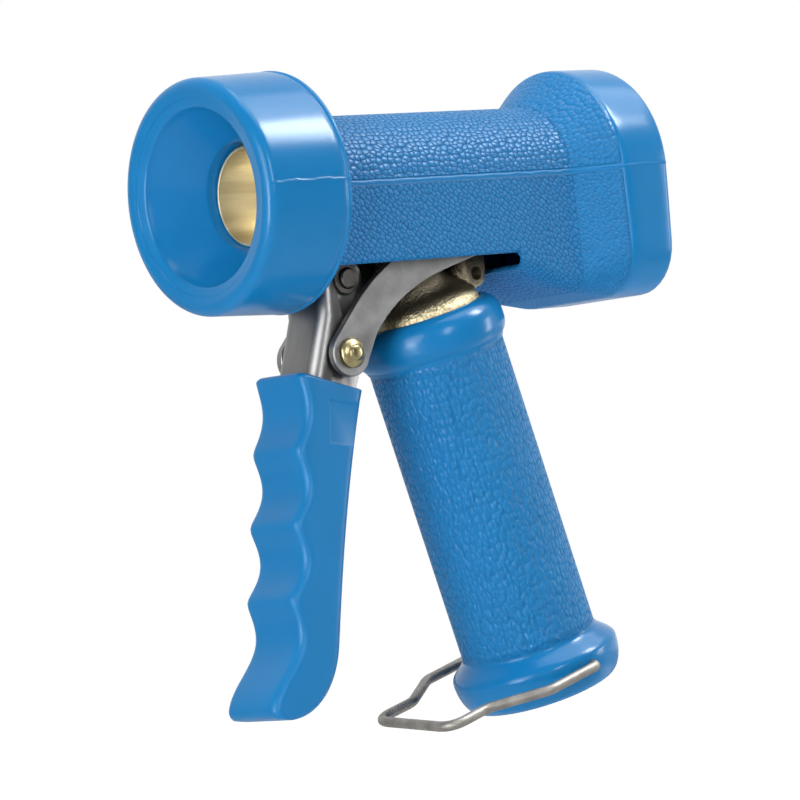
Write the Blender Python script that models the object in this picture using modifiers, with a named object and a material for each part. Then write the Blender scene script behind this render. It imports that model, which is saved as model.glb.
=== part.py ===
"""Trigger spray gun for a water hose.

A cast brass valve body wears a rubber barrel cover and a rubber handle grip. Squeezing the trigger
turns it about the fulcrum pin, two link arms push the crosshead back, and the spindle draws the poppet
off its seat. A wire bail in the foot of the handle swings up and latches the squeezed trigger.

Metres, +Z up, the gun points along -X. The origin is the centre of the hose inlet's mouth. Barrel
pieces are placed from the point where the handle's axis meets the barrel's axis.
"""
import math

import bmesh
import bpy
from mathutils import Matrix, Vector

# Clearances
SEAT_GAP = 0.0003
RUN_GAP = 0.0005

# Frame of the gun
HANDLE_LEAN_DEG = 14.9
BARREL_HEIGHT = 0.149

# Barrel cover: front collar and funnel
COLLAR_RADIUS = 0.0340
COLLAR_FRONT_X = -0.0677
COLLAR_BACK_X = -0.0392
COLLAR_LIP = 0.0036
COLLAR_DRAFT = 0.0006
COLLAR_FILLET = 0.0010
FUNNEL_THROAT_X = -0.0500

# Barrel cover: barrel and rear bumper
COVER_RADIUS = 0.0213
COVER_WALL = 0.0034
COVER_DROP = 0.0224
COVER_EDGE = 0.0012
CAVITY_FRONT_X = -0.0360
SLOT_FRONT_X = -0.0345
SLOT_REAR_X = 0.0288
SLOT_LIP = 0.0030
UNDERSIDE_FRONT_DROP = 0.0288
UNDERSIDE_REAR_DROP = 0.0350
UNDERSIDE_CORNER = 0.0090
BUMPER_NECK_X = 0.0555
BUMPER_RIM_X = 0.0674
BUMPER_BACK_X = 0.0852
BUMPER_RADIUS = 0.0318
BUMPER_HALF_WIDTH = 0.0306
BUMPER_DROP = 0.0372
BUMPER_CORNER = 0.0130
BUMPER_ROUND = 0.0024
BUMPER_EDGE = 0.0012
BUMPER_BACK_WALL = 0.0080

# Brass nozzle tip
NOZZLE_FRONT_X = -0.0487
NOZZLE_RADIUS = 0.0155
NOZZLE_MOUTH_RADIUS = 0.0138
NOZZLE_MOUTH_DEPTH = 0.0110
NOZZLE_TAPER = 0.0010
NOZZLE_CONE = 0.0050
NOZZLE_CHAMFER = 0.0009
ORIFICE_RADIUS = 0.0065
SPIGOT_RADIUS = 0.0120
SPIGOT_LENGTH = 0.0080
SEAT_DEPTH = 0.0022

# Valve body
BODY_FRONT_X = -0.0340
BODY_BOSS_LENGTH = 0.0160
BODY_RADIUS = 0.0135
BODY_REAR_X = 0.0260
CHAMBER_RADIUS = 0.0100
CHAMBER_REAR_X = 0.0140
GLAND_RADIUS = 0.0070
GLAND_FLOOR = 0.0060
NECK_RADIUS = 0.0093
NECK_BORE = 0.0060
DOME_RADIUS = 0.0173
DOME_RISE = 0.0052
DOME_DROP = 0.0378
DOME_SKIRT = 0.0120
LUG_HALF_WIDTH = 0.0070
LUG_RADIUS = 0.0058
REAR_LUG_DROP = 0.0255
REAR_LUG_RADIUS = 0.0050
REAR_LUG_HOLE = 0.0020
REAR_BLOCK_LENGTH = 0.0070
REAR_BLOCK_DROP = 0.0195
REAR_BLOCK_HALF_WIDTH = 0.0088

# Handle
HANDLE_RADIUS = 0.0200
GRIP_TOP_RISE = 0.0002
GRIP_COLLAR_RADIUS = 0.0222
GRIP_COLLAR_ROUND = 0.0060
GRIP_COLLAR_TAIL = 0.0088
FOOT_RADIUS = 0.0248
FOOT_ROUND = 0.0085
FOOT_TURN = 0.0034
FOOT_FLARE = 0.0085
FOOT_BOTTOM_H = 0.0006
PIPE_RADIUS = 0.0125
PIPE_BORE = 0.0090
PIPE_SOCKET_DEPTH = 0.0055
INLET_RADIUS = 0.0165
INLET_HEIGHT = 0.0160
INLET_BORE = 0.0103
INLET_DEPTH = 0.0110
INLET_SHOULDER = 0.0010
WASHER_BORE = 0.0070
WASHER_THICKNESS = 0.0022

# Trigger
FULCRUM_X = -0.0252
FULCRUM_DROP = 0.0255
FULCRUM_PIN_RADIUS = 0.0028
CHANNEL_HALF_WIDTH = 0.0093
CHANNEL_WALL = 0.0018
CHANNEL_CORNER = 0.0050
EAR_RADIUS = 0.0062
CHANNEL_END = 0.0340
GRIP_HALF_WIDTH = 0.0113
GRIP_FRONT_ROUND = 0.0028
GRIP_REAR_ROUND = 0.0034
GRIP_TOP_ALONG = 0.0216
GRIP_TOP_SLANT = 0.0032
GRIP_TOP_DEPTH = 0.0234
GRIP_LOW_DEPTH = 0.0184
FINGER_PITCH = 0.0208
FINGER_DEPTH = 0.0036
FINGER_COUNT = 3
TRIGGER_LEAN_DEG = 11.1
FIRST_CREST_FORWARD = 0.0246
FIRST_CREST_DROP = 0.0462
SCALLOP_SHARPNESS = 1.4
TOE_ROUND_SHARE = 0.4

# Side view of the channel, as (along, behind) from the first finger crest
CHANNEL_FRONT = ((-0.0364, 0.0066), (-0.0190, 0.0074), (0.0300, 0.0106))
CHANNEL_BACK = ((0.0330, 0.0165), (-0.0110, 0.0202), (-0.0190, 0.0208), (-0.0269, 0.0226))

# Side view of the toe below the last scallop, as (along, front, back)
TOE_STATIONS = (
    (0.0060, 0.0010, 0.0176),
    (0.0110, -0.0008, 0.0162),
    (0.0150, -0.0026, 0.0143),
    (0.0180, -0.0044, 0.0122),
    (0.0199, -0.0057, 0.0100),
    (0.0213, -0.0058, 0.0075),
    (0.0221, -0.0047, 0.0050),
    (0.0224, -0.0033, 0.0032),
)

# Link arms, rivet and clips
RIVET_FORWARD = 0.0034
RIVET_DROP = 0.0211
RIVET_RADIUS = 0.0026
RIVET_HEAD_RADIUS = 0.0043
RIVET_HEAD_HEIGHT = 0.0019
RIVET_FACET_RADIUS = 0.0026
RIVET_RIM_HEIGHT = 0.0008
ARM_SIDE_PLAY = 0.0013
ARM_RELIEF = 0.0004
ARM_THICKNESS = 0.0024
ARM_HALF_WIDTH = 0.0053
ARM_EYE_RADIUS = 0.0065
ARM_START_DEG = 58.0
ARM_START_PULL = 0.0460
ARM_END_DEG = 56.0
ARM_END_PULL = 0.0360
ARM_EYE_SHARE = 0.08
ARM_EYE_HALF_DEG = 105.0
TRUNNION_PLAY = 0.0010
CLIP_THICKNESS = 0.0010
CLIP_RADIUS = 0.0044

# Spindle and valve
SPINDLE_RADIUS = 0.0030
SPINDLE_SOCKET = 0.0050
POPPET_NOSE_RADIUS = 0.0052
POPPET_NOSE_LENGTH = 0.0060
POPPET_TIP_RADIUS = 0.0026
POPPET_RADIUS = 0.0088
POPPET_LENGTH = 0.0055
SEAL_THICKNESS = 0.0024
SPRING_RADIUS = 0.0064
SPRING_WIRE = 0.0008
SPRING_TURNS = 7
PACKING_LENGTH = 0.0026
GLAND_NUT_RADIUS = 0.0085
GLAND_NUT_LENGTH = 0.0045
CROSSHEAD_X = 0.0486
CROSSHEAD_LENGTH = 0.0110
CROSSHEAD_HALF_HEIGHT = 0.0062
TRUNNION_RADIUS = 0.0025
NUT_RADIUS = 0.0056
NUT_LENGTH = 0.0042
SPINDLE_TAIL = 0.0020

# Latch bail
BAIL_WIRE_RADIUS = 0.0015
BAIL_PIVOT_H = 0.0091
BAIL_GRIP = 0.0048
BAIL_JOG_START = 0.0190
BAIL_JOG_END = 0.0343
BAIL_REACH = 0.0487
BAIL_HALF_WIDTH = 0.0143
BAIL_DROOP_DEG = 15.0
BAIL_TILT_DEG = 4.8
BAIL_BEND = 0.0040

# Facets of round pieces
ROUND_STEPS = 40
SMALL_STEPS = 20

# Worked out from the sizes above
LEAN = math.radians(HANDLE_LEAN_DEG)
BARREL_ORIGIN = Vector((-BARREL_HEIGHT * math.tan(LEAN), 0.0, BARREL_HEIGHT))
HANDLE_TURN = Matrix.Rotation(-LEAN, 4, "Y")
BARREL_TURN = Matrix.Translation(BARREL_ORIGIN) @ Matrix.Rotation(math.pi / 2, 4, "Y")
AXIS_MEET_H = BARREL_HEIGHT / math.cos(LEAN)
DOME_BASE_H = AXIS_MEET_H - DOME_DROP
GRIP_TOP_H = DOME_BASE_H + GRIP_TOP_RISE
FULCRUM = BARREL_ORIGIN + Vector((FULCRUM_X, 0.0, -FULCRUM_DROP))
RIVET = FULCRUM + Vector((-RIVET_FORWARD, 0.0, -RIVET_DROP))
CROSSHEAD = BARREL_ORIGIN + Vector((CROSSHEAD_X, 0.0, 0.0))
BAIL_PIVOT = HANDLE_TURN @ Vector((0.0, 0.0, BAIL_PIVOT_H))
BAIL_TILT = Matrix.Rotation(math.radians(BAIL_TILT_DEG), 4, "X")
TOE_START = FINGER_PITCH * (FINGER_COUNT - 0.5)
COVER_BORE = NOZZLE_RADIUS + SEAT_GAP
ARM_INNER_Y = CHANNEL_HALF_WIDTH + ARM_SIDE_PLAY
ARM_OUTER_Y = ARM_INNER_Y + ARM_THICKNESS
ARM_MIDDLE_Y = ARM_INNER_Y + ARM_THICKNESS / 2.0


def clear_scene():
    for item in list(bpy.data.objects):
        bpy.data.objects.remove(item, do_unlink=True)


def make_collection(name):
    collection = bpy.data.collections.new(name)
    bpy.context.scene.collection.children.link(collection)
    return collection


clear_scene()
PARTS = make_collection("hose_spray_nozzle")
CUTTERS = make_collection("cutters")


def make_material(name, colour, roughness, metallic):
    material = bpy.data.materials.new(name)
    material.use_nodes = True
    shader = material.node_tree.nodes["Principled BSDF"]
    shader.inputs["Base Color"].default_value = (*colour, 1.0)
    shader.inputs["Roughness"].default_value = roughness
    shader.inputs["Metallic"].default_value = metallic
    return material


BLUE_RUBBER = (0.016, 0.180, 0.480)
BLUE_PLASTIC = (0.014, 0.190, 0.500)
BRASS = (0.560, 0.420, 0.170)
STEEL = (0.420, 0.420, 0.430)
BLACK_RUBBER = (0.020, 0.020, 0.022)


def finish(item, colour, roughness, metallic, collection=PARTS):
    """Put an object in its collection with a material of its own."""
    collection.objects.link(item)
    item.data.materials.clear()
    item.data.materials.append(make_material(item.name + "_finish", colour, roughness, metallic))
    return item


def as_cutter(item):
    CUTTERS.objects.link(item)
    item.hide_render = True
    item.display_type = "WIRE"
    return item


def boolean(target, other, operation):
    modifier = target.modifiers.new(operation.lower() + "_" + other.name, "BOOLEAN")
    modifier.operation = operation
    modifier.object = other
    modifier.solver = "EXACT"


def arc(centre, radii, start_deg, end_deg, count):
    """Points on an arc of an ellipse, both ends included."""
    points = []
    for step in range(count + 1):
        angle = math.radians(start_deg + (end_deg - start_deg) * step / count)
        points.append((centre[0] + radii[0] * math.cos(angle), centre[1] + radii[1] * math.sin(angle)))
    return points


def ease(start, end, count):
    """Points of an S-curve between two profile points, the start left out."""
    points = []
    for step in range(1, count + 1):
        share = step / count
        blend = (1.0 - math.cos(math.pi * share)) / 2.0
        points.append((start[0] + (end[0] - start[0]) * blend, start[1] + (end[1] - start[1]) * share))
    return points


def turned(name, profile, matrix, steps=ROUND_STEPS, closed=True):
    """A profile of (radius, height) points, outer side from top to bottom, turned about the local Z axis."""
    mesh = bpy.data.meshes.new(name)
    verts = [(radius, 0.0, height) for radius, height in profile]
    edges = [(index, index + 1) for index in range(len(verts) - 1)]
    if closed:
        edges.append((len(verts) - 1, 0))
    mesh.from_pydata(verts, edges, [])
    item = bpy.data.objects.new(name, mesh)
    screw = item.modifiers.new("turn", "SCREW")
    screw.axis = "Z"
    screw.steps = steps
    screw.render_steps = steps
    screw.use_merge_vertices = True
    screw.merge_threshold = 0.00001
    screw.use_smooth_shade = True
    item.matrix_world = matrix
    return item


def rod(name, radius, low, high, matrix, steps=SMALL_STEPS):
    """A plain round bar along the local Z axis."""
    profile = [(0.0, high), (radius, high), (radius, low), (0.0, low)]
    return turned(name, profile, matrix, steps, closed=False)


def sleeve(name, outer, inner, low, high, matrix, steps=SMALL_STEPS):
    """A plain tube along the local Z axis."""
    profile = [(outer, high), (outer, low), (inner, low), (inner, high)]
    return turned(name, profile, matrix, steps)


def cross_axis(point, tilt=Matrix.Identity(4)):
    """A frame at a point with its Z axis along the gun's Y axis, or tilted from it."""
    return Matrix.Translation(point) @ tilt @ Matrix.Rotation(-math.pi / 2, 4, "X")


def block(name, low, high, matrix):
    mesh = bpy.data.meshes.new(name)
    shape = bmesh.new()
    bmesh.ops.create_cube(shape, size=1.0)
    size = Vector(high) - Vector(low)
    middle = (Vector(high) + Vector(low)) / 2.0
    bmesh.ops.scale(shape, vec=size, verts=shape.verts)
    bmesh.ops.translate(shape, vec=middle, verts=shape.verts)
    shape.to_mesh(mesh)
    shape.free()
    item = bpy.data.objects.new(name, mesh)
    item.matrix_world = matrix
    return item


def hexagon_nut(name, radius, bore, low, high, matrix):
    """A hexagonal nut with a round bore, its bore along the local Z axis."""
    item = turned(name, [(radius, high), (radius, low), (0.0, low), (0.0, high)], matrix, 6)
    hole = as_cutter(rod(name + "_bore", bore, low - radius, high + radius, matrix))
    boolean(item, hole, "DIFFERENCE")
    return item


def curve_as_mesh(curve_object):
    """The evaluated mesh of a curve object as a plain mesh object of the same name and place."""
    bpy.context.scene.collection.objects.link(curve_object)
    graph = bpy.context.evaluated_depsgraph_get()
    mesh = bpy.data.meshes.new_from_object(curve_object.evaluated_get(graph))
    shape = bmesh.new()
    shape.from_mesh(mesh)
    bmesh.ops.remove_doubles(shape, verts=shape.verts, dist=0.000005)
    bmesh.ops.recalc_face_normals(shape, faces=shape.faces)
    shape.to_mesh(mesh)
    shape.free()
    name = curve_object.name
    matrix = curve_object.matrix_world.copy()
    bpy.data.objects.remove(curve_object, do_unlink=True)
    item = bpy.data.objects.new(name, mesh)
    item.matrix_world = matrix
    return item


def plate(name, outlines, half_thickness, matrix):
    """Flat outlines of (x, z) points made thick along Y; outlines inside the first are holes."""
    curve = bpy.data.curves.new(name, "CURVE")
    curve.dimensions = "2D"
    curve.fill_mode = "BOTH"
    curve.extrude = half_thickness
    for outline in outlines:
        spline = curve.splines.new("POLY")
        spline.points.add(len(outline) - 1)
        for point, (across, up) in zip(spline.points, outline):
            point.co = (across, up, 0.0, 1.0)
        spline.use_cyclic_u = True
    item = bpy.data.objects.new(name, curve)
    item.matrix_world = matrix @ Matrix.Rotation(math.pi / 2, 4, "X")
    return curve_as_mesh(item)


def round_edges(item, width, segments, chosen):
    """Bevel the edges of an outline whose two ends both pass the chosen test in local (x, z)."""
    shape = bmesh.new()
    shape.from_mesh(item.data)
    bmesh.ops.dissolve_limit(shape, angle_limit=0.001, verts=shape.verts, edges=shape.edges)
    edges = [edge for edge in shape.edges
             if abs(edge.verts[0].co.z - edge.verts[1].co.z) < width / 10.0
             and all(chosen(vert.co.x, vert.co.y) for vert in edge.verts)]
    bmesh.ops.bevel(shape, geom=edges, offset=width, segments=segments, profile=0.5, affect="EDGES")
    shape.to_mesh(item.data)
    shape.free()


def circle(centre, radius, count=SMALL_STEPS):
    return arc(centre, (radius, radius), 0.0, 360.0, count)[:-1]


def d_section(radius, half_width, drop, corner):
    """Half-round top, flat sides and a flat bottom with round corners, as (y, z) points."""
    points = arc((0.0, 0.0), (half_width, radius), 0.0, 180.0, 20)
    points += arc((-half_width + corner, -drop + corner), (corner, corner), 180.0, 270.0, 4)
    points += arc((half_width - corner, -drop + corner), (corner, corner), 270.0, 360.0, 4)
    return points


def loft(name, stations, matrix):
    """A closed skin through sections along the local X axis: (x, radius, half width, drop, corner)."""
    shape = bmesh.new()
    rings = []
    for along, radius, half_width, drop, corner in stations:
        ring = [shape.verts.new((along, across, up))
                for across, up in d_section(radius, half_width, drop, corner)]
        rings.append(ring)
    for ring, after in zip(rings, rings[1:]):
        for index in range(len(ring)):
            following = (index + 1) % len(ring)
            shape.faces.new((ring[index], ring[following], after[following], after[index]))
    shape.faces.new(rings[0])
    shape.faces.new(rings[-1])
    bmesh.ops.recalc_face_normals(shape, faces=shape.faces)
    mesh = bpy.data.meshes.new(name)
    shape.to_mesh(mesh)
    shape.free()
    item = bpy.data.objects.new(name, mesh)
    item.matrix_world = matrix
    return item


BARREL_PLACE = Matrix.Translation(BARREL_ORIGIN)


def build_barrel_cover():
    """The rubber moulding over the barrel: D-shaped skin, turned collar, funnel, cavity and slot."""
    flare_steps = 3
    stations = [
        (COLLAR_BACK_X - COLLAR_LIP, COVER_RADIUS, COVER_RADIUS, COVER_DROP, COVER_EDGE),
        (SLOT_REAR_X - SLOT_LIP, COVER_RADIUS, COVER_RADIUS, COVER_DROP, COVER_EDGE),
        (SLOT_REAR_X, COVER_RADIUS, COVER_RADIUS, UNDERSIDE_FRONT_DROP, UNDERSIDE_CORNER),
        (BUMPER_NECK_X, COVER_RADIUS, COVER_RADIUS, UNDERSIDE_REAR_DROP, UNDERSIDE_CORNER),
    ]
    for step in range(1, flare_steps):
        blend = step / flare_steps
        stations.append((
            BUMPER_NECK_X + (BUMPER_RIM_X - BUMPER_NECK_X) * blend,
            COVER_RADIUS + (BUMPER_RADIUS - COVER_RADIUS) * blend,
            COVER_RADIUS + (BUMPER_HALF_WIDTH - COVER_RADIUS) * blend,
            UNDERSIDE_REAR_DROP + (BUMPER_DROP - UNDERSIDE_REAR_DROP) * blend,
            UNDERSIDE_CORNER + (BUMPER_CORNER - UNDERSIDE_CORNER) * blend))
    for angle_deg in (0.0, 45.0, 90.0):
        angle = math.radians(angle_deg)
        inset = BUMPER_EDGE * (1.0 - math.sin(angle))
        stations.append((BUMPER_RIM_X + BUMPER_EDGE * (1.0 - math.cos(angle)),
                         BUMPER_RADIUS - inset, BUMPER_HALF_WIDTH - inset,
                         BUMPER_DROP - inset, BUMPER_CORNER))
    for angle_deg in (0.0, 30.0, 60.0, 90.0):
        angle = math.radians(angle_deg)
        inset = BUMPER_ROUND * (1.0 - math.cos(angle))
        stations.append((BUMPER_BACK_X - BUMPER_ROUND * (1.0 - math.sin(angle)),
                         BUMPER_RADIUS - inset, BUMPER_HALF_WIDTH - inset, BUMPER_DROP - inset,
                         BUMPER_CORNER))
    cover = loft("barrel_cover", stations, BARREL_PLACE)

    lip_x = COLLAR_FRONT_X + COLLAR_LIP
    lip_radius = COLLAR_RADIUS - COLLAR_DRAFT - COLLAR_LIP
    collar_profile = arc((COLLAR_RADIUS - COLLAR_FILLET, COLLAR_BACK_X - COLLAR_FILLET),
                         (COLLAR_FILLET, COLLAR_FILLET), 90.0, 0.0, 2)
    collar_profile += arc((lip_radius, lip_x), (COLLAR_LIP, COLLAR_LIP), 0.0, -180.0, 8)
    collar_profile += [(COVER_BORE, FUNNEL_THROAT_X), (COVER_BORE, COLLAR_BACK_X)]
    collar = as_cutter(turned("collar_shape", collar_profile, BARREL_TURN))
    boolean(cover, collar, "UNION")

    inner_radius = COVER_RADIUS - COVER_WALL
    tail_x = BUMPER_BACK_X - BUMPER_BACK_WALL
    cavity = as_cutter(loft("cover_cavity", [
        (CAVITY_FRONT_X, inner_radius, inner_radius, COVER_DROP - COVER_WALL, COVER_EDGE),
        (SLOT_REAR_X - SLOT_LIP, inner_radius, inner_radius, COVER_DROP - COVER_WALL, COVER_EDGE),
        (SLOT_REAR_X, inner_radius, inner_radius, UNDERSIDE_FRONT_DROP - COVER_WALL, UNDERSIDE_CORNER),
        (BUMPER_NECK_X, inner_radius, inner_radius, UNDERSIDE_REAR_DROP - COVER_WALL, UNDERSIDE_CORNER),
        (tail_x, inner_radius, inner_radius, BUMPER_DROP - COVER_WALL, UNDERSIDE_CORNER),
    ], BARREL_PLACE))
    boolean(cover, cavity, "DIFFERENCE")
    slot = as_cutter(block("cover_slot", (SLOT_FRONT_X, -inner_radius, -2.0 * COVER_DROP),
                           (SLOT_REAR_X, inner_radius, -COVER_DROP / 2.0), BARREL_PLACE))
    boolean(cover, slot, "DIFFERENCE")
    throat_start = (FUNNEL_THROAT_X + COLLAR_BACK_X) / 2.0
    throat = as_cutter(rod("cover_throat", COVER_BORE, throat_start, CAVITY_FRONT_X + COVER_WALL,
                           BARREL_TURN, ROUND_STEPS))
    boolean(cover, throat, "DIFFERENCE")
    finish(cover, BLUE_RUBBER, 0.45, 0.0)


def build_nozzle_tip():
    """The turned brass mouth, its spigot screwed into the front of the valve body."""
    back = BODY_FRONT_X - SEAT_GAP
    tail = back + SPIGOT_LENGTH
    throat = NOZZLE_FRONT_X + NOZZLE_MOUTH_DEPTH
    profile = [
        (SPIGOT_RADIUS, tail),
        (SPIGOT_RADIUS, back),
        (NOZZLE_RADIUS, back),
        (NOZZLE_RADIUS, NOZZLE_FRONT_X + NOZZLE_CHAMFER),
        (NOZZLE_RADIUS - NOZZLE_CHAMFER, NOZZLE_FRONT_X),
        (NOZZLE_MOUTH_RADIUS, NOZZLE_FRONT_X),
        (NOZZLE_MOUTH_RADIUS - NOZZLE_TAPER, throat),
        (ORIFICE_RADIUS, throat + NOZZLE_CONE),
        (ORIFICE_RADIUS, tail - SEAT_DEPTH),
        (ORIFICE_RADIUS + SEAT_DEPTH, tail),
    ]
    finish(turned("nozzle_tip", profile, BARREL_TURN), BRASS, 0.30, 1.0)


def build_valve_body():
    """The brass casting: barrel tube, neck and dome into the handle, fulcrum lug and rear lug."""
    boss_end = BODY_FRONT_X + BODY_BOSS_LENGTH
    profile = [
        (BODY_RADIUS, BODY_REAR_X),
        (BODY_RADIUS, boss_end),
        (NOZZLE_RADIUS, boss_end - (NOZZLE_RADIUS - BODY_RADIUS)),
        (NOZZLE_RADIUS, BODY_FRONT_X),
        (0.0, BODY_FRONT_X),
    ]
    body = turned("valve_body", [(0.0, BODY_REAR_X)] + profile, BARREL_TURN, closed=False)

    skirt_h = DOME_BASE_H - DOME_SKIRT
    dome_top = DOME_BASE_H + DOME_RISE
    neck_profile = [(0.0, AXIS_MEET_H), (NECK_RADIUS, AXIS_MEET_H)]
    neck_profile += arc((NECK_RADIUS, DOME_BASE_H), (DOME_RADIUS - NECK_RADIUS, DOME_RISE), 90.0, 0.0, 5)
    neck_profile += [(DOME_RADIUS, skirt_h), (0.0, skirt_h)]
    neck = as_cutter(turned("neck_shape", neck_profile, HANDLE_TURN, closed=False))
    boolean(body, neck, "UNION")

    lug_outline = arc((0.0, 0.0), (LUG_RADIUS, LUG_RADIUS), 180.0, 360.0, 8)
    lug_outline += [(LUG_RADIUS, FULCRUM_DROP - BODY_RADIUS / 2.0),
                    (-LUG_RADIUS, FULCRUM_DROP - BODY_RADIUS / 2.0)]
    lug = as_cutter(plate("fulcrum_lug", [lug_outline], LUG_HALF_WIDTH, Matrix.Translation(FULCRUM)))
    boolean(body, lug, "UNION")

    rear_lug_x = BODY_REAR_X - REAR_LUG_RADIUS - SEAT_GAP
    rear_lug_place = BARREL_ORIGIN + Vector((rear_lug_x, 0.0, -REAR_LUG_DROP))
    rear_outline = arc((0.0, 0.0), (REAR_LUG_RADIUS, REAR_LUG_RADIUS), 180.0, 360.0, 8)
    rear_outline += [(REAR_LUG_RADIUS, REAR_LUG_DROP - BODY_RADIUS / 2.0),
                     (-REAR_LUG_RADIUS - NECK_RADIUS / 2.0, REAR_LUG_DROP - BODY_RADIUS / 2.0)]
    rear_lug = as_cutter(plate("rear_lug", [rear_outline], LUG_HALF_WIDTH,
                               Matrix.Translation(rear_lug_place)))
    boolean(body, rear_lug, "UNION")
    rear_block = as_cutter(block(
        "rear_block", (BODY_REAR_X - REAR_BLOCK_LENGTH, -REAR_BLOCK_HALF_WIDTH, -REAR_BLOCK_DROP),
        (BODY_REAR_X - SEAT_GAP, REAR_BLOCK_HALF_WIDTH, -BODY_RADIUS / 2.0), BARREL_PLACE))
    boolean(body, rear_block, "UNION")

    arm_side = arm_outline(ARM_RELIEF)[0]
    for middle in (ARM_MIDDLE_Y, -ARM_MIDDLE_Y):
        arm_place = Matrix.Translation(RIVET + Vector((0.0, middle, 0.0)))
        relief = plate("arm_relief", [arm_side], ARM_THICKNESS / 2.0 + ARM_RELIEF, arm_place)
        boolean(body, as_cutter(relief), "DIFFERENCE")

    socket_end = BODY_FRONT_X + SPIGOT_LENGTH
    gland_x = CHAMBER_REAR_X + GLAND_FLOOR
    bore_profile = [
        (0.0, BODY_REAR_X + SPIGOT_LENGTH),
        (GLAND_RADIUS, BODY_REAR_X + SPIGOT_LENGTH),
        (GLAND_RADIUS, gland_x),
        (SPINDLE_RADIUS + RUN_GAP, gland_x),
        (SPINDLE_RADIUS + RUN_GAP, CHAMBER_REAR_X),
        (CHAMBER_RADIUS, CHAMBER_REAR_X),
        (CHAMBER_RADIUS, socket_end),
        (SPIGOT_RADIUS + SEAT_GAP, socket_end),
        (SPIGOT_RADIUS + SEAT_GAP, BODY_FRONT_X - SPIGOT_LENGTH),
        (0.0, BODY_FRONT_X - SPIGOT_LENGTH),
    ]
    boolean(body, as_cutter(turned("body_bore", bore_profile, BARREL_TURN, closed=False)), "DIFFERENCE")
    socket_top = skirt_h + PIPE_SOCKET_DEPTH
    feed_profile = [
        (0.0, AXIS_MEET_H),
        (NECK_BORE, AXIS_MEET_H),
        (NECK_BORE, socket_top),
        (PIPE_RADIUS + SEAT_GAP, socket_top),
        (PIPE_RADIUS + SEAT_GAP, skirt_h - PIPE_SOCKET_DEPTH),
        (0.0, skirt_h - PIPE_SOCKET_DEPTH),
    ]
    boolean(body, as_cutter(turned("feed_bore", feed_profile, HANDLE_TURN, closed=False)), "DIFFERENCE")
    reach = 2.0 * LUG_HALF_WIDTH
    fulcrum_hole = rod("fulcrum_hole", FULCRUM_PIN_RADIUS + SEAT_GAP, -reach, reach, cross_axis(FULCRUM))
    boolean(body, as_cutter(fulcrum_hole), "DIFFERENCE")
    lug_hole = rod("rear_lug_hole", REAR_LUG_HOLE, -reach, reach, cross_axis(rear_lug_place))
    boolean(body, as_cutter(lug_hole), "DIFFERENCE")
    finish(body, BRASS, 0.55, 1.0)


def build_handle():
    """Rubber grip over a brass pipe, with the hose inlet and its washer in the foot."""
    skirt_h = DOME_BASE_H - DOME_SKIRT
    collar_h = GRIP_TOP_H - GRIP_COLLAR_ROUND
    crest = DOME_RADIUS + SEAT_GAP
    profile = arc((crest, collar_h), (GRIP_COLLAR_RADIUS - crest, GRIP_COLLAR_ROUND), 90.0, 0.0, 6)
    profile += ease((GRIP_COLLAR_RADIUS, collar_h), (HANDLE_RADIUS, collar_h - GRIP_COLLAR_TAIL), 5)
    foot_h = FOOT_BOTTOM_H + FOOT_ROUND
    profile += [(HANDLE_RADIUS, foot_h + FOOT_FLARE)]
    profile += ease((HANDLE_RADIUS, foot_h + FOOT_FLARE), (FOOT_RADIUS, foot_h), 5)
    sole = INLET_RADIUS + SEAT_GAP
    sole_edge = FOOT_RADIUS - FOOT_TURN
    profile += arc((sole_edge, foot_h), (FOOT_TURN, FOOT_ROUND), 0.0, -90.0, 5)[1:]
    profile += [
        (sole, FOOT_BOTTOM_H),
        (sole, INLET_HEIGHT + SEAT_GAP),
        (PIPE_RADIUS + SEAT_GAP, INLET_HEIGHT + SEAT_GAP),
        (PIPE_RADIUS + SEAT_GAP, skirt_h - SEAT_GAP),
        (crest, skirt_h - SEAT_GAP),
    ]
    grip = turned("handle_grip", profile, HANDLE_TURN)
    hole_reach = FOOT_RADIUS + BAIL_GRIP
    hole_floor = FOOT_RADIUS - BAIL_GRIP - SEAT_GAP
    hole_place = cross_axis(BAIL_PIVOT, BAIL_TILT)
    hole_radius = BAIL_WIRE_RADIUS + SEAT_GAP
    hole = rod("bail_hole_right", hole_radius, hole_floor, hole_reach, hole_place, 12)
    boolean(grip, as_cutter(hole), "DIFFERENCE")
    far_hole = rod("bail_hole_left", hole_radius, -hole_reach, -hole_floor, hole_place, 12)
    boolean(grip, as_cutter(far_hole), "DIFFERENCE")
    finish(grip, BLUE_RUBBER, 0.45, 0.0)

    pipe_low = INLET_DEPTH + INLET_SHOULDER + SEAT_GAP
    pipe_high = skirt_h + PIPE_SOCKET_DEPTH - SEAT_GAP
    pipe = sleeve("handle_pipe", PIPE_RADIUS, PIPE_BORE, pipe_low, pipe_high, HANDLE_TURN, ROUND_STEPS)
    finish(pipe, BRASS, 0.40, 1.0)

    shoulder = INLET_DEPTH + INLET_SHOULDER
    inlet_profile = [
        (INLET_RADIUS, INLET_HEIGHT),
        (INLET_RADIUS, 0.0),
        (INLET_BORE, 0.0),
        (INLET_BORE, INLET_DEPTH),
        (PIPE_BORE, INLET_DEPTH),
        (PIPE_BORE, shoulder),
        (PIPE_RADIUS + SEAT_GAP, shoulder),
        (PIPE_RADIUS + SEAT_GAP, INLET_HEIGHT),
    ]
    finish(turned("inlet_socket", inlet_profile, HANDLE_TURN), BRASS, 0.35, 1.0)
    washer_top = INLET_DEPTH - SEAT_GAP
    washer = sleeve("hose_washer", INLET_BORE - SEAT_GAP, WASHER_BORE, washer_top - WASHER_THICKNESS,
                    washer_top, HANDLE_TURN, ROUND_STEPS)
    finish(washer, BLACK_RUBBER, 0.60, 0.0)


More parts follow.
